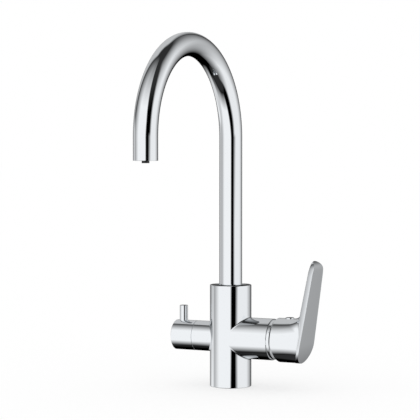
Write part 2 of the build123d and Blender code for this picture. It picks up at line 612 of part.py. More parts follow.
def make_cartridge_base():
    """The cartridge's base plate: three ports, seal grooves and two pegs."""
    plate = x_cylinder(CARTRIDGE_RADIUS, BASE_PLATE_X, FIXED_DISC_X)
    for y, z in peg_places():
        plate += x_cylinder(PEG_RADIUS, CARTRIDGE_SEAT_X - PEG_LENGTH + LOOSE, BASE_PLATE_X, y, z)
    groove_end = BASE_PLATE_X + PORT_SEAL_STAND
    for y, z in disc_ports():
        plate -= x_cylinder(DISC_PORT_RADIUS, BASE_PLATE_X, FIXED_DISC_X, y, z)
        plate -= x_cylinder(DISC_PORT_RADIUS + PORT_SEAL_WIDTH, BASE_PLATE_X, groove_end, y, z)
    return plate


def make_port_seals():
    """Three rubber rings between the base plate and the body."""
    end = BASE_PLATE_X + PORT_SEAL_STAND
    outer = DISC_PORT_RADIUS + PORT_SEAL_WIDTH - SNUG
    rings = [
        x_ring(outer, DISC_PORT_RADIUS, CARTRIDGE_SEAT_X, end, y, z) for y, z in disc_ports()
    ]
    return Compound(children=rings)


def make_fixed_disc():
    """The ceramic disc that stands still, with three ports."""
    disc = x_cylinder(HOUSING_BORE_RADIUS - LOOSE, FIXED_DISC_X, MOVING_DISC_X)
    for y, z in disc_ports():
        disc -= x_cylinder(DISC_PORT_RADIUS, FIXED_DISC_X, MOVING_DISC_X, y, z)
    return disc


def make_moving_disc():
    """The ceramic disc that slides and turns; its pocket joins the ports."""
    disc = x_cylinder(MOVING_DISC_DIAMETER / 2, MOVING_DISC_X, CARRIER_X)
    pocket_end = MOVING_DISC_X + MOVING_DISC_THICKNESS / 2
    return disc - x_cylinder(DISC_PORT_CIRCLE_RADIUS - DISC_PORT_RADIUS, MOVING_DISC_X, pocket_end)


def make_disc_carrier():
    """The plastic block on the moving disc; the spindle's toe pushes it."""
    carrier = x_cylinder(CARRIER_FLANGE_DIAMETER / 2, CARRIER_X,
                         CARRIER_X + CARRIER_FLANGE_THICKNESS)
    end = CARRIER_X + CARRIER_HEIGHT
    half = CARRIER_LENGTH / 2
    carrier += x_box(CARRIER_X, end, CARRIER_WIDTH, -half, half)
    slot = SPINDLE_TOE_RADIUS + TOE_PLAY
    return carrier - x_box(CARRIER_X + POCKET_FLOOR, end, SPINDLE_SIDE + 2 * TOE_PLAY, -slot, slot)


def make_cartridge_housing():
    """The plastic cup round the discs, with a lip that keeps the rotor in."""
    cup = x_cylinder(CARTRIDGE_RADIUS, FIXED_DISC_X, HOUSING_END_X)
    cup -= x_cylinder(HOUSING_BORE_RADIUS, FIXED_DISC_X, HOUSING_LIP_X)
    return cup - x_cylinder(HOUSING_LIP_RADIUS, HOUSING_LIP_X, HOUSING_END_X)


def make_cartridge_rotor():
    """The part that turns for temperature and carries the lever's pivot."""
    rotor = x_cylinder(ROTOR_RADIUS, ROTOR_X, ROTOR_END_X)
    channel_half = CARRIER_LENGTH / 2 + LOOSE
    channel_end = CARRIER_X + CARRIER_HEIGHT + LOOSE
    rotor -= x_box(ROTOR_X, channel_end, CARRIER_WIDTH + 2 * LOOSE,
                   -channel_half, channel_half + DISC_TRAVEL)
    slot_width = SPINDLE_SIDE + 2 * TOE_PLAY
    slope = tan(radians(LEVER_TILT_RANGE))
    low = SPINDLE_SIDE / 2 + (ROTOR_END_X - PIVOT_X) * slope + 2 * LOOSE
    rotor -= x_box(ROTOR_X, ROTOR_END_X, slot_width, -max(low, SPINDLE_EYE_RADIUS + LOOSE),
                   SPINDLE_EYE_RADIUS + LOOSE)
    half_pin = PIVOT_PIN_LENGTH / 2
    return rotor - y_cylinder(PIVOT_PIN_RADIUS, -half_pin, half_pin, PIVOT_X, BRANCH_HEIGHT)


def make_pivot_pin():
    """The steel pin across the rotor that the lever tilts on."""
    half = PIVOT_PIN_LENGTH / 2
    return y_cylinder(PIVOT_PIN_RADIUS, -half, half, PIVOT_X, BRANCH_HEIGHT)


def make_lever_spindle():
    """The brass spindle: a toe in the carrier, an eye on the pin, a square in the hub."""
    half = SPINDLE_SIDE / 2
    spindle = x_box(PIVOT_X, SPINDLE_END_X, SPINDLE_SIDE, -half, half)
    spindle += y_cylinder(SPINDLE_EYE_RADIUS, -half, half, PIVOT_X, BRANCH_HEIGHT)
    spindle += x_box(TOE_X, PIVOT_X, SPINDLE_SIDE, -SPINDLE_TOE_NECK / 2, SPINDLE_TOE_NECK / 2)
    spindle += y_cylinder(SPINDLE_TOE_RADIUS, -half, half, TOE_X, BRANCH_HEIGHT)
    pin_hole = PIVOT_PIN_RADIUS + PIN_FIT
    return spindle - y_cylinder(pin_hole, -half, half, PIVOT_X, BRANCH_HEIGHT)


def make_cartridge_nut():
    """The slotted brass ring that clamps the cartridge in the branch."""
    end = HOUSING_END_X + NUT_LENGTH
    nut = x_ring(NUT_THREAD_RADIUS, NUT_BORE_RADIUS, HOUSING_END_X, end)
    for index in range(NUT_SLOTS):
        slot = Pos(end - NUT_SLOT_DEPTH / 2, 0, NUT_THREAD_RADIUS) * Box(
            NUT_SLOT_DEPTH, NUT_SLOT_WIDTH, NUT_THREAD_RADIUS - NUT_BORE_RADIUS)
        turned = Pos(0, 0, BRANCH_HEIGHT) * Rot(index * 360 / NUT_SLOTS, 0, 0) * slot
        nut -= turned
    return nut


def dome_point(radius, height):
    """The point of a sphere round the pivot that stands a height off the axis."""
    return PIVOT_X + sqrt(radius ** 2 - height ** 2), height


def dome_middle(radius, height_a, height_b):
    """A point of the same sphere midway between two heights."""
    angle = (asin(height_a / radius) + asin(height_b / radius)) / 2
    return PIVOT_X + radius * cos(angle), radius * sin(angle)


def make_collar_ring():
    """The domed collar between the branch and the hub; its dome centres on the pivot."""
    inner_radius = DOME_RADIUS - COLLAR_THICKNESS
    bore = NUT_THREAD_RADIUS - COLLAR_THICKNESS
    opening = COLLAR_OPENING_RADIUS
    foot_x = MIXER_BRANCH_END - COLLAR_THREAD_LENGTH
    outer_start = (DOME_START_X, COLLAR_RADIUS)
    outer_end = dome_point(DOME_RADIUS, opening)
    inner_start = dome_point(inner_radius, opening)
    inner_end = dome_point(inner_radius, bore)
    outline = Polyline((foot_x, bore), (foot_x, NUT_THREAD_RADIUS),
                       (MIXER_BRANCH_END, NUT_THREAD_RADIUS), (MIXER_BRANCH_END, COLLAR_RADIUS),
                       outer_start)
    outline += ThreePointArc(outer_start, dome_middle(DOME_RADIUS, COLLAR_RADIUS, opening),
                             outer_end)
    outline += Line(outer_end, inner_start)
    outline += ThreePointArc(inner_start, dome_middle(inner_radius, opening, bore), inner_end)
    outline += Line(inner_end, (foot_x, bore))
    profile = Plane(origin=(0, 0, BRANCH_HEIGHT), x_dir=(1, 0, 0), z_dir=(0, -1, 0))
    return revolve(profile * make_face(outline), axis=MIXER_AXIS)


# ---------------------------------------------------------------------- lever
def lever_plane(x, lean):
    """A plane that leans outward, with its own Y up the lever and its Z outward."""
    out = (cos(radians(lean)), 0, -sin(radians(lean)))
    return Plane(origin=(x, 0, BRANCH_HEIGHT), x_dir=(0, 1, 0), z_dir=out)


def lever_outline():
    """The lever's outline in its outer face: a round foot drawn up to a round tip."""
    stretch = 1 / cos(radians(LEVER_LEAN))
    foot = Pos(0, -LEVER_FOOT_DROP * stretch) * Circle(LEVER_FOOT_RADIUS)
    tip = Pos(0, LEVER_TIP_RISE * stretch) * Circle(LEVER_TIP_RADIUS)
    return make_hull(foot.edges() + tip.edges())


def facing(shape, direction):
    """The flat face of a shape that looks in a direction."""
    flat = shape.faces().filter_by(GeomType.PLANE)
    return max(flat, key=lambda face: face.normal_at().dot(direction))


def make_lever_blade():
    """The flat lever: its two faces lean a little differently, and its foot is a wedge."""
    outer_plane = lever_plane(LEVER_FACE_X, LEVER_LEAN)
    inner_plane = lever_plane(LEVER_FACE_X - LEVER_THICKNESS_X, LEVER_BACK_LEAN)
    slope = radians(LEVER_END_SLOPE)
    inward = (-cos(slope), 0, sin(slope))
    blade = extrude(outer_plane * lever_outline(), 3 * LEVER_THICKNESS_X, dir=inward)
    blade = split(blade, bisect_by=inner_plane, keep=Keep.TOP)
    blade = fillet(facing(blade, -inner_plane.z_dir).edges(), LEVER_BACK_EDGE)
    blade = split(blade, bisect_by=Plane.YZ.offset(LEVER_FOOT_BACK_X), keep=Keep.TOP)
    return chamfer(facing(blade, outer_plane.z_dir).edges(), LEVER_EDGE)


def hub_section(x, width, height):
    """An upright oval across the hub."""
    plane = Plane(origin=(x, 0, BRANCH_HEIGHT), x_dir=(0, 1, 0), z_dir=(1, 0, 0))
    return plane * Ellipse(width / 2, height / 2)


def flare_start_x():
    """Where the hub's top starts to curve up into the lever's inner face."""
    back_x = LEVER_FACE_X - LEVER_THICKNESS_X
    corner_x = back_x + HUB_RADIUS * tan(radians(LEVER_BACK_LEAN))
    return corner_x - LEVER_ROOT_FILLET * tan(radians(90 - LEVER_BACK_LEAN) / 2)


def make_flare():
    """The upper half of the hub's end, which curves up into the lever's inner face."""
    turn = 90 - LEVER_BACK_LEAN
    sections = []
    for step in range(FLARE_SECTIONS):
        angle = radians(turn * step / (FLARE_SECTIONS - 1))
        x = flare_start_x() + LEVER_ROOT_FILLET * sin(angle)
        rise = LEVER_ROOT_FILLET * (1 - cos(angle))
        sections.append(hub_section(x, HUB_END_WIDTH, HUB_DIAMETER + 2 * rise))
    return split(loft(sections), bisect_by=Plane.XY.offset(BRANCH_HEIGHT), keep=Keep.TOP)


def make_hub():
    """The hub's outer form: round at the branch, drawn in sideways at the lever."""
    narrow_x = HUB_X + HUB_STRAIGHT
    end_x = flare_start_x()
    middle_width = (HUB_DIAMETER + HUB_END_WIDTH) / 2 + HUB_BULGE
    hub = x_cylinder(HUB_RADIUS, HUB_X, narrow_x)
    hub += loft([
        hub_section(narrow_x, HUB_DIAMETER, HUB_DIAMETER),
        hub_section((narrow_x + end_x) / 2, middle_width, HUB_DIAMETER),
        hub_section(end_x, HUB_END_WIDTH, HUB_DIAMETER),
    ])
    end = extrude(hub_section(end_x, HUB_END_WIDTH, HUB_DIAMETER), 2 * LEVER_THICKNESS_X)
    end += make_flare()
    inside_face = lever_plane(LEVER_FACE_X - LEVER_EDGE - LOOSE, LEVER_LEAN)
    return hub + split(end, bisect_by=inside_face, keep=Keep.BOTTOM)


def hub_relief():
    """The wedge cut off the hub's lower edge, so that the lever can tilt."""
    top = -HUB_RELIEF_RISE
    low = -HUB_RADIUS - HUB_EDGE
    reach = (top - low) * tan(radians(HUB_RELIEF_ANGLE))
    corner = (HUB_X, BRANCH_HEIGHT + top)
    outline = Polyline(corner, (HUB_X + reach, BRANCH_HEIGHT + low),
                       (HUB_X - reach, BRANCH_HEIGHT + low), (HUB_X - reach, corner[1]), corner)
    return extrude(Plane.XZ * make_face(outline), HUB_RADIUS + HUB_EDGE, both=True)


def index_seat_z():
    """Height of the flat that the index plug's head sits on."""
    return HUB_TOP_Z + INDEX_PLUG_STAND - INDEX_PLUG_HEAD


def hub_open_edges(hub):
    """The outer edges of the hub's open end: the upright face and the relief."""
    rims = [face for face in hub.faces().filter_by(GeomType.PLANE) if face.normal_at().X < -0.9]
    return [edge for face in rims for edge in face.edges() if edge.geom_type != GeomType.LINE]


def make_handle():
    """The cast lever: blade and hub in one, hollowed over the collar's dome."""
    hub = make_hub() - hub_relief()
    handle = fillet(hub_open_edges(hub), HUB_EDGE) + make_lever_blade()
    handle -= Pos(PIVOT_X, 0, BRANCH_HEIGHT) * Sphere(HUB_CAVITY_RADIUS)
    side = SPINDLE_SIDE / 2 + SNUG
    handle -= x_box(PIVOT_X, SPINDLE_END_X + 2 * LOOSE, 2 * side, -side, side)
    stem_low = index_seat_z() - INDEX_PLUG_STEM_LENGTH
    handle -= z_cylinder(GRUB_SCREW_RADIUS + SNUG, BRANCH_HEIGHT, stem_low, GRUB_SCREW_X)
    handle -= z_cylinder(INDEX_PLUG_STEM_RADIUS + SNUG, stem_low, HUB_TOP_Z, GRUB_SCREW_X)
    return handle - z_cylinder(INDEX_PLUG_RADIUS + SNUG, index_seat_z(), HUB_TOP_Z, GRUB_SCREW_X)


def make_handle_grub_screw():
    """The screw that clamps the hub on the spindle's square."""
    low = BRANCH_HEIGHT + SPINDLE_SIDE / 2
    screw = z_cylinder(GRUB_SCREW_RADIUS, low, low + GRUB_SCREW_LENGTH, GRUB_SCREW_X)
    key = Pos(GRUB_SCREW_X, 0, low + GRUB_SCREW_LENGTH) * RegularPolygon(GRUB_SCREW_KEY_RADIUS, 6)
    return screw - extrude(key, -GRUB_SCREW_RADIUS)


def make_index_plug():
    """The button on top of the hub that covers the grub screw."""
    seat = index_seat_z()
    top = HUB_TOP_Z + INDEX_PLUG_STAND
    plug = z_cylinder(INDEX_PLUG_RADIUS, seat, top, GRUB_SCREW_X)
    plug = fillet(plug.edges().group_by(Axis.Z)[-1], INDEX_PLUG_STAND / 2)
    low = seat - INDEX_PLUG_STEM_LENGTH
    return plug + z_cylinder(INDEX_PLUG_STEM_RADIUS, low, seat, GRUB_SCREW_X)


# ------------------------------------------------------- filtered water valve
def disc_openings(start, end):
    """Two opposite round openings through a valve disc, above and below its middle."""
    radius = VALVE_DISC_PORT_RADIUS
    reach = SEAT_SEAL_BORE_RADIUS - radius
    return [x_cylinder(radius, start, end, 0, side * reach) for side in (-1, 1)]


def make_valve_bonnet():
    """The brass headwork: a windowed nose, a thread, a flange and a neck."""
    bonnet = x_cylinder(VALVE_NOSE_RADIUS, -VALVE_THREAD_X, -VALVE_NOSE_X)
    bonnet += x_cylinder(VALVE_THREAD_RADIUS, -VALVE_FLANGE_X, -VALVE_THREAD_X)
    bonnet += x_cylinder(VALVE_FLANGE_RADIUS, -VALVE_NECK_X, -VALVE_FLANGE_X)
    bonnet += x_cylinder(VALVE_NECK_RADIUS, -VALVE_NECK_END_X, -VALVE_NECK_X)
    bonnet -= x_cylinder(VALVE_CAVITY_RADIUS, -VALVE_CAVITY_END_X, -VALVE_NOSE_X)
    bonnet -= x_cylinder(VALVE_SPINDLE_RADIUS + PIN_FIT, -VALVE_NECK_END_X, -VALVE_CAVITY_END_X)
    window = x_box(-VALVE_DRIVER_X, -VALVE_DRIVER_X + VALVE_WINDOW_LENGTH, VALVE_WINDOW_WIDTH,
                   -VALVE_CHAMBER_RADIUS, VALVE_CHAMBER_RADIUS)
    return bonnet - window


def make_bonnet_seal():
    """The washer under the bonnet's flange."""
    return x_ring(VALVE_FLANGE_RADIUS, VALVE_THREAD_RADIUS + LOOSE,
                  -VALVE_FLANGE_X, -VALVE_FLANGE_X + BONNET_SEAL_THICKNESS)


def make_valve_seat_seal():
    """The rubber seat between the body and the fixed disc."""
    return x_ring(VALVE_DISC_RADIUS, SEAT_SEAL_BORE_RADIUS, -VALVE_FIXED_DISC_X, -VALVE_SEAT_X)


def make_valve_fixed_disc():
    """The ceramic disc that stands still on the seat."""
    disc = x_cylinder(VALVE_DISC_RADIUS, -VALVE_MOVING_DISC_X, -VALVE_FIXED_DISC_X)
    return disc - disc_openings(-VALVE_MOVING_DISC_X, -VALVE_FIXED_DISC_X)


def make_valve_moving_disc():
    """The ceramic disc that turns with the spindle; closed at rest."""
    disc = x_cylinder(VALVE_DISC_RADIUS, -VALVE_DRIVER_X, -VALVE_MOVING_DISC_X)
    for opening in disc_openings(-VALVE_DRIVER_X, -VALVE_MOVING_DISC_X):
        disc -= opening.rotate(MIXER_AXIS, 90)
    return disc


def make_valve_spindle():
    """The brass spindle: a driver behind the moving disc and a shaft into the knob."""
    driver_end = VALVE_DRIVER_X + SPINDLE_DRIVER_THICKNESS
    spindle = x_cylinder(VALVE_DISC_RADIUS, -driver_end, -VALVE_DRIVER_X)
    spindle += x_cylinder(VALVE_SPINDLE_RADIUS, -VALVE_SPINDLE_END_X, -driver_end)
    half = SPINDLE_RING_THICKNESS / 2 + PIN_FIT
    floor = VALVE_SPINDLE_RADIUS - SPINDLE_RING_THICKNESS + PIN_FIT
    ring_x = -spindle_ring_x()
    return spindle - x_ring(VALVE_DISC_RADIUS, floor, ring_x - half, ring_x + half)


def spindle_ring_x():
    """Middle of the spindle's O-ring, halfway along the bonnet's thread."""
    return VALVE_FLANGE_X - VALVE_THREAD_LENGTH / 2 + SPINDLE_RING_THICKNESS


def make_spindle_o_ring():
    """The O-ring that seals the spindle in the bonnet."""
    thickness = SPINDLE_RING_THICKNESS - PIN_FIT
    return x_o_ring(VALVE_SPINDLE_RADIUS + PIN_FIT / 2, thickness, -spindle_ring_x())


def make_valve_knob():
    """The turning end of the filtered water branch."""
    knob = x_cylinder(FILTER_BRANCH_RADIUS, -KNOB_END_X, -KNOB_START_X)
    knob = fillet(rim_edges(knob, Axis.X, -KNOB_END_X, 0), KNOB_EDGE)
    knob -= x_cylinder(FILTER_BRANCH_RADIUS - KNOB_WALL, -KNOB_CAVITY_END_X, -KNOB_START_X)
    knob -= x_cylinder(VALVE_SPINDLE_RADIUS + SNUG, -KNOB_BORE_END_X, -KNOB_CAVITY_END_X)
    top = BRANCH_HEIGHT + FILTER_BRANCH_RADIUS
    knob -= z_cylinder(PIN_SHANK_RADIUS + SNUG, BRANCH_HEIGHT, top, -PIN_LEVER_X)
    seat = BRANCH_HEIGHT + PIN_SEAT_Z
    return knob - z_cylinder(PIN_LEVER_RADIUS + SNUG, seat, top, -PIN_LEVER_X)


def make_pin_lever():
    """The pin that turns the knob; its shank locks the knob on the spindle."""
    seat = BRANCH_HEIGHT + PIN_SEAT_Z
    pin = z_cylinder(PIN_LEVER_RADIUS, seat, BRANCH_HEIGHT + PIN_LEVER_TOP, -PIN_LEVER_X)
    pin = fillet(pin.edges().group_by(Axis.Z)[-1], PIN_LEVER_EDGE)
    foot = BRANCH_HEIGHT + VALVE_SPINDLE_RADIUS
    return pin + z_cylinder(PIN_SHANK_RADIUS, foot, seat, -PIN_LEVER_X)


PARTS = {
    "tap_body": make_tap_body,
    "base_seal": make_base_seal,
    "spout_tube": make_spout_tube,
    "spout_spigot": make_spout_spigot,
    "spigot_o_rings": make_spigot_o_rings,
    "slip_washer": make_slip_washer,
    "spout_grub_screw": make_spout_grub_screw,
    "filtered_water_tube": make_filtered_water_tube,
    "tube_tail": make_tube_tail,
    "tail_o_ring": make_tail_o_ring,
    "filtered_nozzle": make_filtered_nozzle,
    "aerator_housing": make_aerator_housing,
    "aerator_screen": make_aerator_screen,
    "aerator_core": make_aerator_core,
    "aerator_washer": make_aerator_washer,
    "cartridge_base": make_cartridge_base,
    "port_seals": make_port_seals,
    "fixed_disc": make_fixed_disc,
    "moving_disc": make_moving_disc,
    "disc_carrier": make_disc_carrier,
    "cartridge_housing": make_cartridge_housing,
    "cartridge_rotor": make_cartridge_rotor,
    "pivot_pin": make_pivot_pin,
    "lever_spindle": make_lever_spindle,
    "cartridge_nut": make_cartridge_nut,
    "collar_ring": make_collar_ring,
    "handle": make_handle,
    "handle_grub_screw": make_handle_grub_screw,
    "index_plug": make_index_plug,
    "valve_bonnet": make_valve_bonnet,
    "bonnet_seal": make_bonnet_seal,
    "valve_seat_seal": make_valve_seat_seal,
    "valve_fixed_disc": make_valve_fixed_disc,
    "valve_moving_disc": make_valve_moving_disc,
    "valve_spindle": make_valve_spindle,
    "spindle_o_ring": make_spindle_o_ring,
    "valve_knob": make_valve_knob,
    "pin_lever": make_pin_lever,
}


def main():
    """Build every piece and write it to its own file."""
    os.makedirs("parts", exist_ok=True)
    for name, make in PARTS.items():
        export_step(make(), f"parts/{name}.step")


main()
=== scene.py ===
import json
from math import asin, atan2, cos, degrees, hypot, pi, radians, sin, sqrt, tan

import bmesh
import bpy
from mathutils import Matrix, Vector

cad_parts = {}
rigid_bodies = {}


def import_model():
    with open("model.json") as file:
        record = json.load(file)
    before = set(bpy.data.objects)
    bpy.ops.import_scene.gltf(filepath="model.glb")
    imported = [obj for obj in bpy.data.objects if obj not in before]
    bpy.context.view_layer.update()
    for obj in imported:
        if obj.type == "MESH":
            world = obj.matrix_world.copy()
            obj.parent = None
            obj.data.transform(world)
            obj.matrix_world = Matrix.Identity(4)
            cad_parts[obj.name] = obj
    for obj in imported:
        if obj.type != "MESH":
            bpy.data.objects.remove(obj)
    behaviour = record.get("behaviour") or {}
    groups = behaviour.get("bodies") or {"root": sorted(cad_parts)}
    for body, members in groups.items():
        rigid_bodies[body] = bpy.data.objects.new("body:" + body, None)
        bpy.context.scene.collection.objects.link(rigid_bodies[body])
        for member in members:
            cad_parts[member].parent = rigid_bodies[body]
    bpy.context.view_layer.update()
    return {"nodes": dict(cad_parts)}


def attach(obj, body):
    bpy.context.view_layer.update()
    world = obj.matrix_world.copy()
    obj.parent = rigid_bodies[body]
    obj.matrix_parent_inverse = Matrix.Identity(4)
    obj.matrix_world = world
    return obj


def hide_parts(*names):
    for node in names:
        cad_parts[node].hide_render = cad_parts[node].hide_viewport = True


# A three way kitchen tap in chrome: body with two branches, swivel spout, mixer
# lever on the right and a small knob for filtered water on the left.
# Metres, in the frame of the CAD: the base's centre is the origin, the spout
# points along -Y, the mixer branch along +X. Angles are in degrees.

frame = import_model()

# ------------------------------------------------------------------ real sizes
MM = 0.001
BRANCH_HEIGHT = 51.9 * MM         # axis of both side branches

# The spout's bent tube.
TUBE_RADIUS = 12.1 * MM
TUBE_WALL = 1.2 * MM
TUBE_FOOT = 104.5 * MM
TUBE_ROUNDING = 0.35 * MM
ARCH_CENTRE = 263.9 * MM
ARCH_RADIUS = 93.6 * MM
OUTLET = 241 * MM

# The collar on the end of the mixer branch. Its dome is centred on the lever's pivot.
BRANCH_END = 50.6 * MM
PIVOT_X = 38 * MM
COLLAR_RADIUS = 20.75 * MM
COLLAR_WALL = 1.4 * MM
COLLAR_OPENING = 12.4 * MM        # radius that the spindle passes through
COLLAR_INNER_ANGLE = 41           # from the branch's axis, where the inner dome ends
COLLAR_THREAD = 1.3 * MM          # length that goes into the branch
COLLAR_THREAD_RADIUS = 19 * MM
DOME_START = 53.6 * MM
DOME_RADIUS = hypot(DOME_START - PIVOT_X, COLLAR_RADIUS)
SPANNER_HOLE = (52.9 * MM, -18.4 * MM, 61.4 * MM)
SPANNER_HOLE_RADIUS = 0.65 * MM
SPANNER_DRILL_LENGTH = 2 * MM     # half of it goes into the collar

# The knob for filtered water, open towards its branch, and the pin that turns it.
FILTER_RADIUS = 16 * MM
KNOB_START = 39.12 * MM
KNOB_END = 64.1 * MM
KNOB_WALL = 2.7 * MM
KNOB_RECESS = 3.2 * MM
KNOB_ROUNDING = 0.6 * MM
PIN_RADIUS = 4.4 * MM
PIN_X = 56.1 * MM
PIN_FOOT = BRANCH_HEIGHT + 14.6 * MM
PIN_TOP = BRANCH_HEIGHT + 31.9 * MM
PIN_ROUNDING = 0.5 * MM           # also of the plug

# The round plug on top of the hub.
PLUG_RADIUS = 4.6 * MM
PLUG_X = 68.7 * MM
PLUG_FOOT = 74.1 * MM
PLUG_TOP = 76 * MM

# The blade: a face that leans outwards, rolled back at its foot and at its tip.
FACE_X = 88.77 * MM               # at the height of the branches
FACE_LEAN = 9.16
FACE_EDGE = 0.22 * MM
BACK_X = 80.5 * MM                # at the height of the branches
BACK_LEAN = 10.5
BACK_EDGE = 1.2 * MM
SIDE_DRAFT = (12, 24)             # that the sides draw in, at the face and at the back
LEAST_DEPTH = 3.4 * MM            # from face to back
FOOT_WIDTH = 19.28 * MM           # half of it, at the height FOOT_Z
FOOT_Z = 47.7 * MM
FOOT_HEIGHT = 19.2 * MM           # of the half oval below FOOT_Z
FOOT_CURVE_TOP = 50 * MM          # the face curves back below this height
FOOT_CURVE = 6.0                  # and this strongly, in 1/m
TIP_WIDTH = 14.15 * MM            # half of it, at the height TIP_Z
TIP_Z = 120.06 * MM
TIP_HEIGHT = 15.9 * MM            # of the half oval above TIP_Z
TIP_POWER = 2.46                  # of that oval
ROLL_Z = 126 * MM                 # the face starts to roll back at the tip
ROLL_POWER = 2.8
ROLL_LEFT = 0.01                  # share of the depth that the roll leaves at the very tip

# The hub: round at its mouth, drawn in sideways and squared on top at the blade.
HUB_RADIUS = 23.1 * MM
HUB_MOUTH = 55.5 * MM
HUB_LENGTH = 31 * MM
HUB_HALF_WIDTH = 19.3 * MM        # where it meets the blade
HUB_DRAW_IN = 2.2                 # power by which it narrows to that
HUB_SQUARENESS = 0.4              # added to the power of its upper half's oval, at the blade
HUB_BAND = 3.1 * MM               # beside and below, it stops this far behind the face
HUB_FLARE = 14 * MM               # on top, the radius that runs up into the blade's back
HUB_FLARE_FADE = (0.2, 1.0)       # shares of its radius, up from the axis, where that sets in
HUB_CAVITY = 26.76 * MM           # ball shaped hollow round the collar's dome
HUB_RIM = 0.6 * MM
HUB_RUN_IN = ((0.1 * MM, 0.995), (0.5 * MM, 0.95))    # last rings: way into the blade, width
HUB_CLOSING_X = FACE_X - 2 * MM   # where the skin closes, inside the blade
RELIEF_DROP = 4 * MM              # relief for the tilt starts this far below the axis
RELIEF_ANGLE = 10.7

# ----------------------------------------------------------- fineness of meshes
MERGE_WITHIN = 1e-6
ROUND_SIDES = 128                 # of the tube and of turned pieces
PIN_SIDES = 64
DRILL_SIDES = 24
END_FACE = 3                      # a turned end's middle face is a third of it across
BEVEL_ABOVE = 60                  # edges sharper than this are rounded
SMOOTH_BELOW = 35                 # edges flatter than this are shaded smooth
SMOOTH_CAST = 25
SMOOTH_COLLAR = 30
SMOOTH_HUB = 50
RISER_STEPS, ARCH_STEPS, DROP_STEPS = 8, 96, 2
DOME_STEPS, INNER_DOME_STEPS = 16, 10
EDGE_STEPS, SIDE_STEPS, BACK_STEPS = 3, 8, 6          # round the blade's level cut
RISE_STEPS, OVAL_STEPS = 24, 36                       # up the blade, and over either end
TIP_REACH, FOOT_REACH = 89.6, 89  # of the 90 of each end oval, so that none ends in a point
HOLLOW_STEPS, RIM_STEPS, SKIN_STEPS, FLARE_STEPS = 14, 5, 24, 12
HUB_TURNS = 192

# ---------------------------------------------------------------------- camera
VIEW_TURN = 26.6                  # camera to the right of the spout
VIEW_PITCH = 2.228
VIEW_PLACE = (0.77198, -1.59071, 0.256)
LENS = 142.97


# --------------------------------------------------------------- node helpers
def linear(code):
    """An sRGB hex value as the linear colour that Blender's sockets take."""
    parts = [int(code[i:i + 2], 16) / 255 for i in (1, 3, 5)]
    return [c / 12.92 if c <= 0.04045 else ((c + 0.055) / 1.055) ** 2.4 for c in parts] + [1.0]


def add_node(tree, kind, inputs=(), **settings):
    """One node with its settings; inputs give a socket a value or another node's output."""
    node = tree.nodes.new(kind)
    for name, value in settings.items():
        setattr(node, name, value)
    for socket, value in dict(inputs).items():
        if isinstance(value, bpy.types.NodeSocket):
            tree.links.new(value, node.inputs[socket])
        else:
            node.inputs[socket].default_value = value
    return node


def new_material(name):
    """An empty node material and its tree."""
    material = bpy.data.materials.new(name)
    material.use_nodes = True
    material.node_tree.nodes.clear()
    return material, material.node_tree


# ------------------------------------------------------------------ materials
NOISE_SPREAD = {"From Min": 0.3, "From Max": 0.7}     # nearly all of a noise's values
MIX_A, MIX_B, MIX_RESULT = 6, 7, 2                    # a mix node's sockets for colours


def chrome_plate():
    """Chrome plating on polished brass: a blue-white mirror, softened a little here and
    there by the buffing, with the slow waviness that polishing leaves on a casting."""
    material, tree = new_material("chrome_plate")
    place = add_node(tree, "ShaderNodeTexCoord").outputs["Object"]
    haze = add_node(tree, "ShaderNodeTexNoise", {
        "Vector": place, "Scale": 1 / (18 * MM), "Detail": 3.0})
    rough = add_node(tree, "ShaderNodeMapRange", {
        "Value": haze.outputs[0], **NOISE_SPREAD, "To Min": 0.03, "To Max": 0.055})
    wave = add_node(tree, "ShaderNodeTexNoise", {
        "Vector": place, "Scale": 1 / (14 * MM), "Detail": 1.0})
    bump = add_node(tree, "ShaderNodeBump", {
        "Height": wave.outputs[0], "Strength": 0.25, "Distance": 0.03 * MM})
    shader = add_node(tree, "ShaderNodeBsdfPrincipled", {
        "Base Color": linear("#EAEDF0"), "Metallic": 1.0, "Roughness": rough.outputs[0],
        "Normal": bump.outputs[0]})
    add_node(tree, "ShaderNodeOutputMaterial", {"Surface": shader.outputs[0]})
    return material


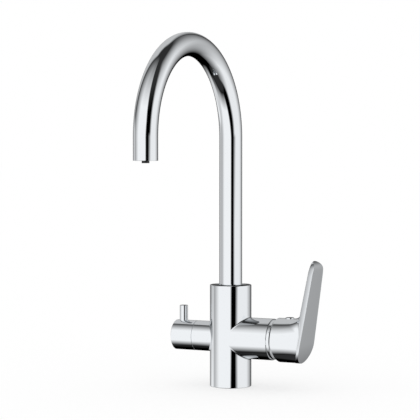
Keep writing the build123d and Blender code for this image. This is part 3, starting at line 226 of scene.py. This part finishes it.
def turned_brass(name, centre, turn):
    """Free cutting brass straight from the lathe: yellow metal whose fine rings round
    the piece's own axis draw the light out into streaks."""
    material, tree = new_material(name)
    place = add_node(tree, "ShaderNodeTexCoord").outputs["Object"]
    centred = add_node(tree, "ShaderNodeVectorMath", {0: place, 1: centre}, operation="SUBTRACT")
    upright = add_node(tree, "ShaderNodeMapping", {
        "Vector": centred.outputs[0], "Rotation": turn})
    axes = add_node(tree, "ShaderNodeSeparateXYZ", {"Vector": upright.outputs[0]}).outputs
    level = add_node(tree, "ShaderNodeVectorMath", {
        0: upright.outputs[0], 1: (1, 1, 0)}, operation="MULTIPLY")
    radius = add_node(tree, "ShaderNodeVectorMath", {0: level.outputs[0]}, operation="LENGTH")
    travel = add_node(tree, "ShaderNodeMath", {0: radius.outputs["Value"], 1: axes["Z"]})
    feed = add_node(tree, "ShaderNodeCombineXYZ", {"X": travel.outputs[0]})
    # The tool's real feed is about 0.1 mm a turn. The wave makes 20 radians a unit, so
    # that 0.4 mm here draws rings 2.5 mm apart, which show.
    groove = add_node(tree, "ShaderNodeTexWave", {
        "Vector": feed.outputs[0], "Scale": 1 / (20 * 0.4 * MM), "Distortion": 0.4,
        "Detail": 1.0})
    bump = add_node(tree, "ShaderNodeBump", {
        "Height": groove.outputs["Fac"], "Strength": 0.4, "Distance": 0.02 * MM})
    tarnish = add_node(tree, "ShaderNodeTexNoise", {
        "Vector": place, "Scale": 1 / (6 * MM), "Detail": 4.0})
    colour = add_node(tree, "ShaderNodeMix", {
        "Factor": tarnish.outputs[0], MIX_A: linear("#D2B26C"), MIX_B: linear("#B8934C")},
        data_type="RGBA")
    shader = add_node(tree, "ShaderNodeBsdfPrincipled", {
        "Base Color": colour.outputs[MIX_RESULT], "Metallic": 1.0, "Roughness": 0.27,
        "Normal": bump.outputs[0]})
    add_node(tree, "ShaderNodeOutputMaterial", {"Surface": shader.outputs[0]})
    return material


def ground_stainless():
    """Stainless steel screws and pin, centreless ground: grey with a dull, even shine."""
    material, tree = new_material("ground_stainless")
    place = add_node(tree, "ShaderNodeTexCoord").outputs["Object"]
    # Grinding marks of about 0.05 mm, drawn at 0.3 mm so that they show.
    marks = add_node(tree, "ShaderNodeTexNoise", {
        "Vector": place, "Scale": 1 / (0.3 * MM), "Detail": 2.0})
    rough = add_node(tree, "ShaderNodeMapRange", {
        "Value": marks.outputs[0], **NOISE_SPREAD, "To Min": 0.28, "To Max": 0.42})
    shader = add_node(tree, "ShaderNodeBsdfPrincipled", {
        "Base Color": linear("#B9BABC"), "Metallic": 1.0, "Roughness": rough.outputs[0]})
    add_node(tree, "ShaderNodeOutputMaterial", {"Surface": shader.outputs[0]})
    return material


def moulded(name, low, high, grain, depth, roughness, ior):
    """A moulded, extruded or pressed piece: a soft sheen over the fine grain that the tool
    leaves, and colour that drifts a little between two tones."""
    material, tree = new_material(name)
    place = add_node(tree, "ShaderNodeTexCoord").outputs["Object"]
    drift = add_node(tree, "ShaderNodeTexNoise", {
        "Vector": place, "Scale": 1 / (7 * MM), "Detail": 3.0})
    colour = add_node(tree, "ShaderNodeMix", {
        "Factor": drift.outputs[0], MIX_A: linear(low), MIX_B: linear(high)}, data_type="RGBA")
    speckle = add_node(tree, "ShaderNodeTexNoise", {
        "Vector": place, "Scale": 1 / grain, "Detail": 2.0})
    bump = add_node(tree, "ShaderNodeBump", {
        "Height": speckle.outputs[0], "Strength": 0.5, "Distance": depth})
    rough = add_node(tree, "ShaderNodeMapRange", {
        "Value": speckle.outputs[0], **NOISE_SPREAD,
        "To Min": roughness - 0.05, "To Max": roughness + 0.07})
    shader = add_node(tree, "ShaderNodeBsdfPrincipled", {
        "Base Color": colour.outputs[MIX_RESULT], "Roughness": rough.outputs[0], "IOR": ior,
        "Normal": bump.outputs[0]})
    add_node(tree, "ShaderNodeOutputMaterial", {"Surface": shader.outputs[0]})
    return material


CHROME = chrome_plate()
BRANCH_BRASS = turned_brass("turned_brass_branches", (0, 0, BRANCH_HEIGHT), (0, pi / 2, 0))
SPOUT_BRASS = turned_brass("turned_brass_spout", (0, 0, 0), (0, 0, 0))
STEEL = ground_stainless()
# Acetal is the slippery white, grey or black plastic of cartridges and aerators.
WHITE_ACETAL = moulded("acetal_white", "#E9E8E3", "#DEDCD5", 0.4 * MM, 0.012 * MM, 0.42, 1.48)
GREY_ACETAL = moulded("acetal_grey", "#8E9094", "#808287", 0.4 * MM, 0.012 * MM, 0.45, 1.48)
BLACK_ACETAL = moulded("acetal_black", "#1B1B1D", "#141416", 0.4 * MM, 0.012 * MM, 0.36, 1.48)
# Extruded polyethylene drinking water tube is waxy, with hardly any grain.
BLUE_TUBE = moulded(
    "polyethylene_tube_blue", "#5C88C6", "#4F7ABA", 1.5 * MM, 0.01 * MM, 0.38, 1.51)
# Moulded EPDM seals are a matt charcoal that swallows light.
RUBBER = moulded("epdm_rubber", "#212122", "#191919", 0.25 * MM, 0.02 * MM, 0.66, 1.52)
# Lapped alumina discs are a creamy white, smooth but not glossy at this scale.
CERAMIC = moulded("lapped_alumina", "#F1EDE2", "#E8E3D6", 0.2 * MM, 0.004 * MM, 0.24, 1.76)


# ---------------------------------------------------------------- mesh helpers
def deselect_all():
    """Nothing selected."""
    bpy.ops.object.select_all(action="DESELECT")


def activate(piece):
    """Only this piece selected and active."""
    deselect_all()
    piece.select_set(True)
    bpy.context.view_layer.objects.active = piece


def edit(piece):
    """Edit mode with every vertex of a piece selected."""
    activate(piece)
    bpy.ops.object.mode_set(mode="EDIT")
    bpy.ops.mesh.select_mode(type="VERT")
    bpy.ops.mesh.select_all(action="SELECT")


def pick_faces(piece, height):
    """Select in edit mode only the faces that lie level at a height."""
    bpy.ops.mesh.select_mode(type="FACE")
    bpy.ops.mesh.select_all(action="DESELECT")
    shape = bmesh.from_edit_mesh(piece.data)
    for face in shape.faces:
        face.select_set(all(abs(corner.co.z - height) < 1e-7 for corner in face.verts))
    shape.select_flush_mode()
    bmesh.update_edit_mesh(piece.data)


def extrude(move):
    """Extrude what is selected in edit mode along a move."""
    bpy.ops.mesh.extrude_region_move(TRANSFORM_OT_translate={"value": move})


def fix_piece(piece):
    """Merge doubles, point the faces outwards and put the object at the origin."""
    activate(piece)
    bpy.ops.object.transform_apply(location=True, rotation=True, scale=True)
    edit(piece)
    bpy.ops.mesh.remove_doubles(threshold=MERGE_WITHIN)
    bpy.ops.mesh.normals_make_consistent(inside=False)
    bpy.ops.object.mode_set(mode="OBJECT")


def round_edges(piece, width, segments=4):
    """Round every sharp edge of a piece."""
    activate(piece)
    rounding = piece.modifiers.new("rounding", "BEVEL")
    rounding.width = width
    rounding.segments = segments
    rounding.limit_method = "ANGLE"
    rounding.angle_limit = radians(BEVEL_ABOVE)
    bpy.ops.object.modifier_apply(modifier="rounding")


def smooth(piece, angle=SMOOTH_BELOW):
    """Smooth shading up to edges sharper than an angle, led by the large faces."""
    activate(piece)
    bpy.ops.object.shade_smooth_by_angle(angle=radians(angle))
    weighted = piece.modifiers.new("weighted", "WEIGHTED_NORMAL")
    weighted.keep_sharp = True
    bpy.ops.object.modifier_apply(modifier="weighted")


def finish_piece(piece, name, body, material, node):
    """Name a piece, give it its material, attach it to what it rides on and hide the CAD node
    that it stands for.
    """
    piece.name = name
    piece.data.name = name
    piece.data.materials.clear()
    piece.data.materials.append(material)
    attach(piece, body)
    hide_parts(node)


def merged_copy(node):
    """A copy of a CAD node with its loose triangles merged, smooth up to its edges."""
    piece = bpy.data.objects.new(node + "_copy", frame["nodes"][node].data.copy())
    bpy.context.scene.collection.objects.link(piece)
    edit(piece)
    bpy.ops.mesh.remove_doubles(threshold=MERGE_WITHIN)
    bpy.ops.object.mode_set(mode="OBJECT")
    smooth(piece, SMOOTH_CAST)
    return piece


def turn_on_lathe(outline, closed=True):
    """A piece turned round the branches' axis, from an outline of (x, radius) points.

    A closed outline's last point joins its first. An open one's two ends are filled."""
    last, last_radius = outline[0]
    place = Vector((last, 0, BRANCH_HEIGHT))
    bpy.ops.mesh.primitive_circle_add(
        vertices=ROUND_SIDES, radius=last_radius, fill_type="NOTHING", location=place,
        rotation=(0, pi / 2, 0))
    piece = bpy.context.object
    bpy.ops.object.transform_apply()
    edit(piece)
    for x, radius in outline[1:] + outline[:closed]:
        move = (x - last, 0, 0)
        place = place + Vector(move)
        extrude(move)
        share = radius / last_radius
        bpy.ops.transform.resize(value=(1, share, share), center_override=place)
        last, last_radius = x, radius
    if not closed:
        bpy.ops.mesh.select_all(action="SELECT")
        bpy.ops.mesh.fill_holes(sides=0)
    bpy.ops.object.mode_set(mode="OBJECT")
    fix_piece(piece)
    return piece


# ------------------------------------------------------------- spout and collar
def model_spout_pipe():
    """The bent tube: a ring raised, spun over the arch and lowered, then given its wall."""
    bpy.ops.mesh.primitive_circle_add(
        vertices=ROUND_SIDES, radius=TUBE_RADIUS, fill_type="NOTHING",
        location=(0, 0, TUBE_FOOT))
    piece = bpy.context.object
    bpy.ops.object.transform_apply()
    edit(piece)
    for _ in range(RISER_STEPS):
        extrude((0, 0, (ARCH_CENTRE - TUBE_FOOT) / RISER_STEPS))
    bpy.ops.mesh.spin(
        steps=ARCH_STEPS, angle=pi, center=(0, -ARCH_RADIUS, ARCH_CENTRE), axis=(-1, 0, 0))
    for _ in range(DROP_STEPS):
        extrude((0, 0, (OUTLET - ARCH_CENTRE) / DROP_STEPS))
    bpy.ops.object.mode_set(mode="OBJECT")
    fix_piece(piece)
    wall = piece.modifiers.new("wall", "SOLIDIFY")
    wall.thickness = TUBE_WALL
    wall.offset = -1
    bpy.ops.object.modifier_apply(modifier="wall")
    round_edges(piece, TUBE_ROUNDING, 3)
    smooth(piece)
    return piece


def dome_points(radius, start, end, steps):
    """Points along the collar's dome, from one angle to another about the lever's pivot."""
    points = []
    for step in range(steps + 1):
        angle = radians(start + (end - start) * step / steps)
        points.append((PIVOT_X + radius * cos(angle), radius * sin(angle)))
    return points


def model_collar():
    """The domed collar on the end of the mixer branch, with the hole for its spanner."""
    skirt_angle = degrees(atan2(COLLAR_RADIUS, DOME_START - PIVOT_X))
    opening_angle = degrees(asin(COLLAR_OPENING / DOME_RADIUS))
    outer = dome_points(DOME_RADIUS, skirt_angle, opening_angle, DOME_STEPS)
    inner = dome_points(
        DOME_RADIUS - COLLAR_WALL, opening_angle, COLLAR_INNER_ANGLE, INNER_DOME_STEPS)
    thread_end = BRANCH_END - COLLAR_THREAD
    outline = [(BRANCH_END, COLLAR_THREAD_RADIUS), (BRANCH_END, COLLAR_RADIUS)] + outer + inner
    outline += [(thread_end, inner[-1][1]), (thread_end, COLLAR_THREAD_RADIUS)]
    piece = turn_on_lathe(outline)
    outward = Vector((0, SPANNER_HOLE[1], SPANNER_HOLE[2] - BRANCH_HEIGHT)).normalized()
    bpy.ops.mesh.primitive_cylinder_add(
        vertices=DRILL_SIDES, radius=SPANNER_HOLE_RADIUS, depth=SPANNER_DRILL_LENGTH,
        location=SPANNER_HOLE, rotation=(atan2(-outward.y, outward.z), 0, 0))
    drill = bpy.context.object
    activate(piece)
    hole = piece.modifiers.new("spanner_hole", "BOOLEAN")
    hole.object = drill
    hole.solver = "EXACT"
    bpy.ops.object.modifier_apply(modifier="spanner_hole")
    bpy.data.objects.remove(drill)
    smooth(piece, SMOOTH_COLLAR)
    return piece


# --------------------------------------------------------- knob, pin and plug
def model_knob():
    """The turning end of the filtered water branch, with its edges rounded."""
    wall = FILTER_RADIUS - KNOB_WALL
    floor = -KNOB_START - KNOB_RECESS
    piece = turn_on_lathe(
        [(floor, wall / END_FACE), (floor, wall), (-KNOB_START, wall),
         (-KNOB_START, FILTER_RADIUS), (-KNOB_END, FILTER_RADIUS),
         (-KNOB_END, FILTER_RADIUS / END_FACE)], closed=False)
    round_edges(piece, KNOB_ROUNDING)
    smooth(piece)
    return piece


def model_pin(radius, x, foot, top):
    """An upright round pin with its edges rounded: the knob's pin and the hub's plug."""
    bpy.ops.mesh.primitive_cylinder_add(
        vertices=PIN_SIDES, radius=radius, depth=top - foot, end_fill_type="NGON",
        location=(x, 0, (top + foot) / 2))
    piece = bpy.context.object
    fix_piece(piece)
    round_edges(piece, PIN_ROUNDING)
    smooth(piece)
    return piece


# --------------------------------------------------------------- lever's blade
def face_x(height):
    """Where the blade's face is at a height, before the tip's roll."""
    flat = FACE_X + (height - BRANCH_HEIGHT) * tan(radians(FACE_LEAN))
    return flat - FOOT_CURVE * max(FOOT_CURVE_TOP - height, 0) ** 2


def back_x(height):
    """Where the blade's back is at a height."""
    flat = BACK_X + (height - BRANCH_HEIGHT) * tan(radians(BACK_LEAN))
    return min(flat, face_x(height) - LEAST_DEPTH)


def blade_level(height):
    """Half width, face and back of the blade at a height."""
    width = FOOT_WIDTH + (TIP_WIDTH - FOOT_WIDTH) * (height - FOOT_Z) / (TIP_Z - FOOT_Z)
    if height < FOOT_Z:
        width = FOOT_WIDTH * sqrt(max(1 - ((FOOT_Z - height) / FOOT_HEIGHT) ** 2, 0))
    if height > TIP_Z:
        width *= max(1 - ((height - TIP_Z) / TIP_HEIGHT) ** TIP_POWER, 0) ** (1 / TIP_POWER)
    face, back = face_x(height), back_x(height)
    if height > ROLL_Z:
        share = (height - ROLL_Z) / (TIP_Z + TIP_HEIGHT - ROLL_Z)
        face = back + (face - back) * max(1 - share ** ROLL_POWER, ROLL_LEFT)
    return width, face, back


def blade_outline(height):
    """Points round one half of the blade's level cut: face's edge, drafted side, back's edge."""
    width, face, back = blade_level(height)
    points = []
    start, end = SIDE_DRAFT
    for step in range(EDGE_STEPS + 1):
        angle = radians(90 - (90 + start) * step / EDGE_STEPS)
        points.append(
            (face - FACE_EDGE * (1 - sin(angle)), width - FACE_EDGE * (1 - cos(angle))))
    inset = width - points[-1][1]
    depth = face - points[-1][0]
    straight = (face - back) - depth - BACK_EDGE
    for step in range(SIDE_STEPS):
        draft = start + (end - start) * (step + 0.5) / SIDE_STEPS
        inset += straight / SIDE_STEPS * tan(radians(draft))
        depth += straight / SIDE_STEPS
        points.append((face - depth, width - inset))
    middle_x = points[-1][0] + BACK_EDGE * sin(radians(end))
    middle_y = points[-1][1] - BACK_EDGE * cos(radians(end))
    for step in range(1, BACK_STEPS + 1):
        angle = radians(end + (90 - end) * step / BACK_STEPS)
        points.append((middle_x - BACK_EDGE * sin(angle), middle_y + BACK_EDGE * cos(angle)))
    return points


def model_lever_blade():
    """The lever's blade: its level cut, drawn once, is raised to the tip and lowered to the
    foot."""
    half = blade_outline(FOOT_Z)
    outline = half + [(x, -y) for x, y in reversed(half)]
    bpy.ops.mesh.primitive_circle_add(
        vertices=len(outline), radius=FOOT_WIDTH, location=(0, 0, FOOT_Z))
    piece = bpy.context.object
    bpy.ops.object.transform_apply()
    for vertex, (x, y) in zip(piece.data.vertices, outline):
        vertex.co = (x, y, FOOT_Z)
    edit(piece)
    bpy.ops.mesh.edge_face_add()
    rise = TIP_Z - FOOT_Z
    ovals = range(1, OVAL_STEPS + 1)
    upward = [FOOT_Z + rise * step / RISE_STEPS for step in range(1, RISE_STEPS + 1)]
    upward += [TIP_Z + TIP_HEIGHT * sin(radians(TIP_REACH) * step / OVAL_STEPS)
               for step in ovals]
    downward = [FOOT_Z - FOOT_HEIGHT * sin(radians(FOOT_REACH) * step / OVAL_STEPS)
                for step in ovals]
    for heights in (upward, downward):
        pick_faces(piece, FOOT_Z)
        width, face, back = blade_level(FOOT_Z)
        last = FOOT_Z
        for height in heights:
            new_width, new_face, new_back = blade_level(height)
            extrude((new_face - face, 0, height - last))
            share = (new_face - new_back) / (face - back)
            bpy.ops.transform.resize(
                value=(share, new_width / width, 1), center_override=(new_face, 0, height))
            width, face, back, last = new_width, new_face, new_back, height
    bpy.ops.object.mode_set(mode="OBJECT")
    fix_piece(piece)
    smooth(piece)
    return piece


# ----------------------------------------------------------------- lever's hub
def ease(value, start, end):
    """A smooth step from 0 to 1 between two values."""
    share = min(max((value - start) / (end - start), 0), 1)
    return share * share * (3 - 2 * share)


def signed_power(value, power):
    """A power of a value's size, with the value's sign."""
    return abs(value) ** power * (1 if value > 0 else -1)


def hub_section(x, turn):
    """Sideways and upward place on the hub's skin at a place along it and an angle round it."""
    across, rise = cos(turn), sin(turn)
    along = min(max((x - HUB_MOUTH) / HUB_LENGTH, 0), 1)
    squareness = HUB_SQUARENESS if rise > 0 else 0
    power = 2 / (2 + squareness * along ** 2)
    width = HUB_RADIUS + (HUB_HALF_WIDTH - HUB_RADIUS) * along ** HUB_DRAW_IN
    return width * signed_power(across, power), HUB_RADIUS * signed_power(rise, power)


def mouth_x(rise):
    """The hub's open end, cut back below for the tilt."""
    return HUB_MOUTH + max(-RELIEF_DROP - rise, 0) * tan(radians(RELIEF_ANGLE))


def hub_skin(turn):
    """Points along the hub's skin: out of its hollow, over the rim, along it, up the flare
    and into the blade."""
    points = []
    side, rise = cos(turn), sin(turn)
    rim = hub_section(HUB_MOUTH, turn)
    mouth = mouth_x(rim[1])
    open_angle = atan2(sqrt(HUB_CAVITY ** 2 - (mouth - PIVOT_X) ** 2), mouth - PIVOT_X)
    for step in range(HOLLOW_STEPS + 1):
        angle = open_angle * step / HOLLOW_STEPS
        radius = HUB_CAVITY * sin(angle)
        points.append((PIVOT_X + HUB_CAVITY * cos(angle), radius * side, radius * rise))
    for step in range(RIM_STEPS + 1):
        angle = radians(90 * step / RIM_STEPS)
        share = 1 - HUB_RIM * (1 - sin(angle)) / HUB_RADIUS
        points.append((mouth + HUB_RIM * (1 - cos(angle)), rim[0] * share, rim[1] * share))
    y, z = hub_section(HUB_MOUTH + HUB_LENGTH, turn)
    lift = ease(z / HUB_RADIUS, *HUB_FLARE_FADE)
    bend = radians(90 - BACK_LEAN)
    flare = HUB_FLARE * lift
    top = BRANCH_HEIGHT + z + flare * (1 - cos(bend))
    end = face_x(top) - HUB_BAND + (back_x(top) - face_x(top) + HUB_BAND) * lift
    start = end - flare * sin(bend)
    first = points[-1][0]
    for step in range(1, SKIN_STEPS + 1):
        x = first + (start - first) * step / SKIN_STEPS
        points.append((x, *hub_section(x, turn)))
    for step in range(1, FLARE_STEPS + 1):
        angle = bend * step / FLARE_STEPS
        x = start + flare * sin(angle)
        y, z = hub_section(x, turn)
        points.append((x, y, z + flare * (1 - cos(angle))))
    for run_in, share in HUB_RUN_IN:
        points.append((end + run_in, y * share, z + flare * (1 - cos(bend))))
    points.append((HUB_CLOSING_X, 0, 0))
    return [(x, y, BRANCH_HEIGHT + z) for x, y, z in points]


def model_lever_hub():
    """The hollow hub: a fine grid wrapped round the casting, because its flare suits no
    plain extrusion."""
    columns = [hub_skin(2 * pi * turn / HUB_TURNS) for turn in range(HUB_TURNS)]
    columns.append(columns[0])
    bpy.ops.mesh.primitive_grid_add(
        x_subdivisions=len(columns[0]) - 1, y_subdivisions=HUB_TURNS)
    piece = bpy.context.object
    places = [place for column in columns for place in column]
    for vertex, place in zip(piece.data.vertices, places):
        vertex.co = place
    fix_piece(piece)
    smooth(piece, SMOOTH_HUB)
    return piece


# ------------------------------------------------------------------- the tap
finish_piece(merged_copy("tap_body"), "body_casting", "fixed_body", CHROME, "tap_body")
finish_piece(model_lever_blade(), "lever_blade", "lever", CHROME, "handle")
finish_piece(model_lever_hub(), "lever_hub", "lever", CHROME, "handle")
finish_piece(model_spout_pipe(), "spout_pipe", "spout", CHROME, "spout_tube")
finish_piece(model_collar(), "collar", "fixed_body", CHROME, "collar_ring")
finish_piece(model_knob(), "knob", "filter_knob", CHROME, "valve_knob")
finish_piece(model_pin(PIN_RADIUS, -PIN_X, PIN_FOOT, PIN_TOP),
             "knob_pin", "filter_knob", CHROME, "pin_lever")
finish_piece(model_pin(PLUG_RADIUS, PLUG_X, PLUG_FOOT, PLUG_TOP),
             "plug_button", "lever", CHROME, "index_plug")
finish_piece(merged_copy("filtered_nozzle"), "filtered_nozzle_tip", "spout",
             BLACK_ACETAL, "filtered_nozzle")
finish_piece(merged_copy("aerator_housing"), "aerator_ring", "spout",
             GREY_ACETAL, "aerator_housing")
finish_piece(merged_copy("aerator_screen"), "aerator_plate", "spout",
             GREY_ACETAL, "aerator_screen")

# What stays hidden inside keeps its CAD mesh and gets its material.
INNER_PARTS = {
    "spout_spigot": SPOUT_BRASS, "tube_tail": SPOUT_BRASS,
    "lever_spindle": BRANCH_BRASS, "cartridge_nut": BRANCH_BRASS,
    "valve_bonnet": BRANCH_BRASS, "valve_spindle": BRANCH_BRASS,
    "spout_grub_screw": STEEL, "pivot_pin": STEEL, "handle_grub_screw": STEEL,
    "slip_washer": WHITE_ACETAL, "aerator_core": WHITE_ACETAL,
    "disc_carrier": WHITE_ACETAL, "cartridge_rotor": WHITE_ACETAL,
    "cartridge_base": GREY_ACETAL, "cartridge_housing": GREY_ACETAL,
    "filtered_water_tube": BLUE_TUBE,
    "base_seal": RUBBER, "spigot_o_rings": RUBBER, "tail_o_ring": RUBBER,
    "aerator_washer": RUBBER, "port_seals": RUBBER, "bonnet_seal": RUBBER,
    "valve_seat_seal": RUBBER, "spindle_o_ring": RUBBER,
    "fixed_disc": CERAMIC, "moving_disc": CERAMIC,
    "valve_fixed_disc": CERAMIC, "valve_moving_disc": CERAMIC,
}
for name, material in INNER_PARTS.items():
    slots = frame["nodes"][name].data.materials
    slots.clear()
    slots.append(material)

# The photographed body mirrors neither spout nor lever, so only these pieces show in
# a mirror.
MIRRORED = ("body_casting", "collar", "knob", "knob_pin")
for piece in bpy.data.objects:
    if piece.type == "MESH" and piece.name not in MIRRORED:
        piece.visible_glossy = False


# ------------------------------------------------------------------ the stage
# Softboxes of the tent. A box's sides are angles round the tap from the camera's side,
# with the right positive, and its levels are angles above the level. Each gives where the
# light starts, is full, starts to fade and ends. Then comes the tone, and then the lean:
# a level and how far the box stands to the right there, at two levels.
ALL_ROUND = (-203, -202, 158, 159)
NO_LEAN = (0, 0, 1, 0)
SOFTBOXES = {
    "left": ((-128, -68, -4, 4), (-63, -36, 30, 88), 1.04, (-55, -14, 15, 6)),
    "top": (ALL_ROUND, (22, 45, 90, 91), 0.03, NO_LEAN),
    "floor": (ALL_ROUND, (-91, -90, -68, -60), 0.03, NO_LEAN),
    "right_high": ((38, 54, 98, 157), (-3, 4, 18, 65), 0.98, (0, 0, 50, 16)),
    "right_low": ((25, 42, 98, 157), (-80, -38, -3, 4), 0.97, (-65, 14, -30, 0)),
    "rear_low": ((-165, -142, -130, -95), (-48, -36, -14, -6), 0.75, NO_LEAN),
    "rear_edge": ((-172, -124, -118, -104), (-20, -10, 4, 11), 0.6, NO_LEAN),
    "rear_high": ((-200, -180, -134, -122), (2, 16, 62, 72), 0.57, NO_LEAN),
}
TENT_RADIUS = 8.0
TENT_CENTRE = (0, -0.05, 0.2)
TENT_SEAM = 22                    # angles round the tap run from -202 to 158
FLOOR_SIZE = 30
PAPER_SHARE = 0.6                 # of the floor's white that no shadow darkens


def tent_cloth():
    """Black cloth with white softboxes behind it, given by direction."""
    material, tree = new_material("tent_cloth")
    place = add_node(tree, "ShaderNodeTexCoord").outputs["Object"]
    centred = add_node(tree, "ShaderNodeVectorMath", {
        0: place, 1: TENT_CENTRE}, operation="SUBTRACT")
    turned = add_node(tree, "ShaderNodeMapping", {
        "Vector": centred.outputs[0], "Rotation": (0, 0, radians(90 - VIEW_TURN + TENT_SEAM))})
    axes = add_node(tree, "ShaderNodeSeparateXYZ", {"Vector": turned.outputs[0]}).outputs
    height = add_node(tree, "ShaderNodeMath", {
        0: axes["Z"], 1: TENT_RADIUS}, operation="DIVIDE")
    rise = add_node(tree, "ShaderNodeMath", {
        0: height.outputs[0]}, operation="ARCSINE").outputs[0]
    turn = add_node(tree, "ShaderNodeMath", {0: axes["Y"], 1: axes["X"]}, operation="ARCTAN2")
    round_tap = add_node(tree, "ShaderNodeMath", {
        0: turn.outputs[0], 1: radians(TENT_SEAM)}, operation="SUBTRACT")
    total = 0.0
    for sides, levels, tone, (low, low_lean, high, high_lean) in SOFTBOXES.values():
        lean = add_node(tree, "ShaderNodeMapRange", {
            "Value": rise, "From Min": radians(low), "From Max": radians(high),
            "To Min": radians(low_lean), "To Max": radians(high_lean)})
        azimuth = add_node(tree, "ShaderNodeMath", {
            0: round_tap.outputs[0], 1: lean.outputs[0]}, operation="SUBTRACT").outputs[0]
        box = tone
        for angle, (start, full, fading, end) in ((azimuth, sides), (rise, levels)):
            for dark, bright in ((start, full), (end, fading)):
                fade = add_node(tree, "ShaderNodeMapRange", {
                    "Value": angle, "From Min": radians(dark), "From Max": radians(bright)})
                box = add_node(tree, "ShaderNodeMath", {
                    0: box, 1: fade.outputs[0]}, operation="MULTIPLY").outputs[0]
        total = add_node(tree, "ShaderNodeMath", {0: total, 1: box}).outputs[0]
    glow = add_node(tree, "ShaderNodeEmission", {"Strength": total})
    add_node(tree, "ShaderNodeOutputMaterial", {"Surface": glow.outputs[0]})
    return material


def floor_board():
    """Matt white board: the camera sees it near paper white, with the tap's soft shadow."""
    material, tree = new_material("white_board")
    rays = add_node(tree, "ShaderNodeLightPath").outputs
    seen = add_node(tree, "ShaderNodeMath", {
        0: rays["Is Camera Ray"], 1: rays["Is Glossy Ray"]}, operation="MAXIMUM")
    seen = add_node(tree, "ShaderNodeMath", {
        0: seen.outputs[0], 1: rays["Is Transmission Ray"]}, operation="MAXIMUM")
    share = add_node(tree, "ShaderNodeMath", {
        0: seen.outputs[0], 1: PAPER_SHARE}, operation="MULTIPLY")
    board = add_node(tree, "ShaderNodeBsdfDiffuse", {"Color": linear("#FFFFFF")})
    paper = add_node(tree, "ShaderNodeEmission", {
        "Color": linear("#FFFFFF"), "Strength": 1.0})
    mixed = add_node(tree, "ShaderNodeMixShader", {
        0: share.outputs[0], 1: board.outputs[0], 2: paper.outputs[0]})
    add_node(tree, "ShaderNodeOutputMaterial", {"Surface": mixed.outputs[0]})
    return material


def make_tent():
    """A photographer's tent round the tap that only its mirror finish sees."""
    bpy.ops.mesh.primitive_uv_sphere_add(
        segments=128, ring_count=64, radius=TENT_RADIUS, location=TENT_CENTRE)
    tent = bpy.context.object
    tent.name = "light_tent"
    bpy.ops.object.transform_apply()
    tent.data.materials.append(tent_cloth())
    tent.visible_camera = False
    tent.visible_diffuse = False
    tent.visible_shadow = False
    tent.visible_transmission = False


def make_floor():
    """The pale floor that the tap stands on, left out of its mirror finish."""
    bpy.ops.mesh.primitive_plane_add(size=FLOOR_SIZE, location=(0, 0, 0))
    floor = bpy.context.object
    floor.name = "floor"
    floor.data.materials.append(floor_board())
    floor.visible_glossy = False


def light_the_scene():
    """A plain white world."""
    world = bpy.data.worlds.new("studio")
    bpy.context.scene.world = world
    world.use_nodes = True
    background = world.node_tree.nodes["Background"].inputs
    background["Color"].default_value = (1, 1, 1, 1)
    background["Strength"].default_value = 1.0


def place_camera():
    """The camera at the photograph's angle."""
    bpy.ops.object.camera_add(
        location=VIEW_PLACE, rotation=(radians(90 - VIEW_PITCH), 0, radians(VIEW_TURN)))
    camera = bpy.context.object
    camera.data.lens = LENS
    bpy.context.scene.camera = camera


deselect_all()
make_tent()
make_floor()
light_the_scene()
place_camera()
bpy.context.scene.view_settings.view_transform = "Standard"
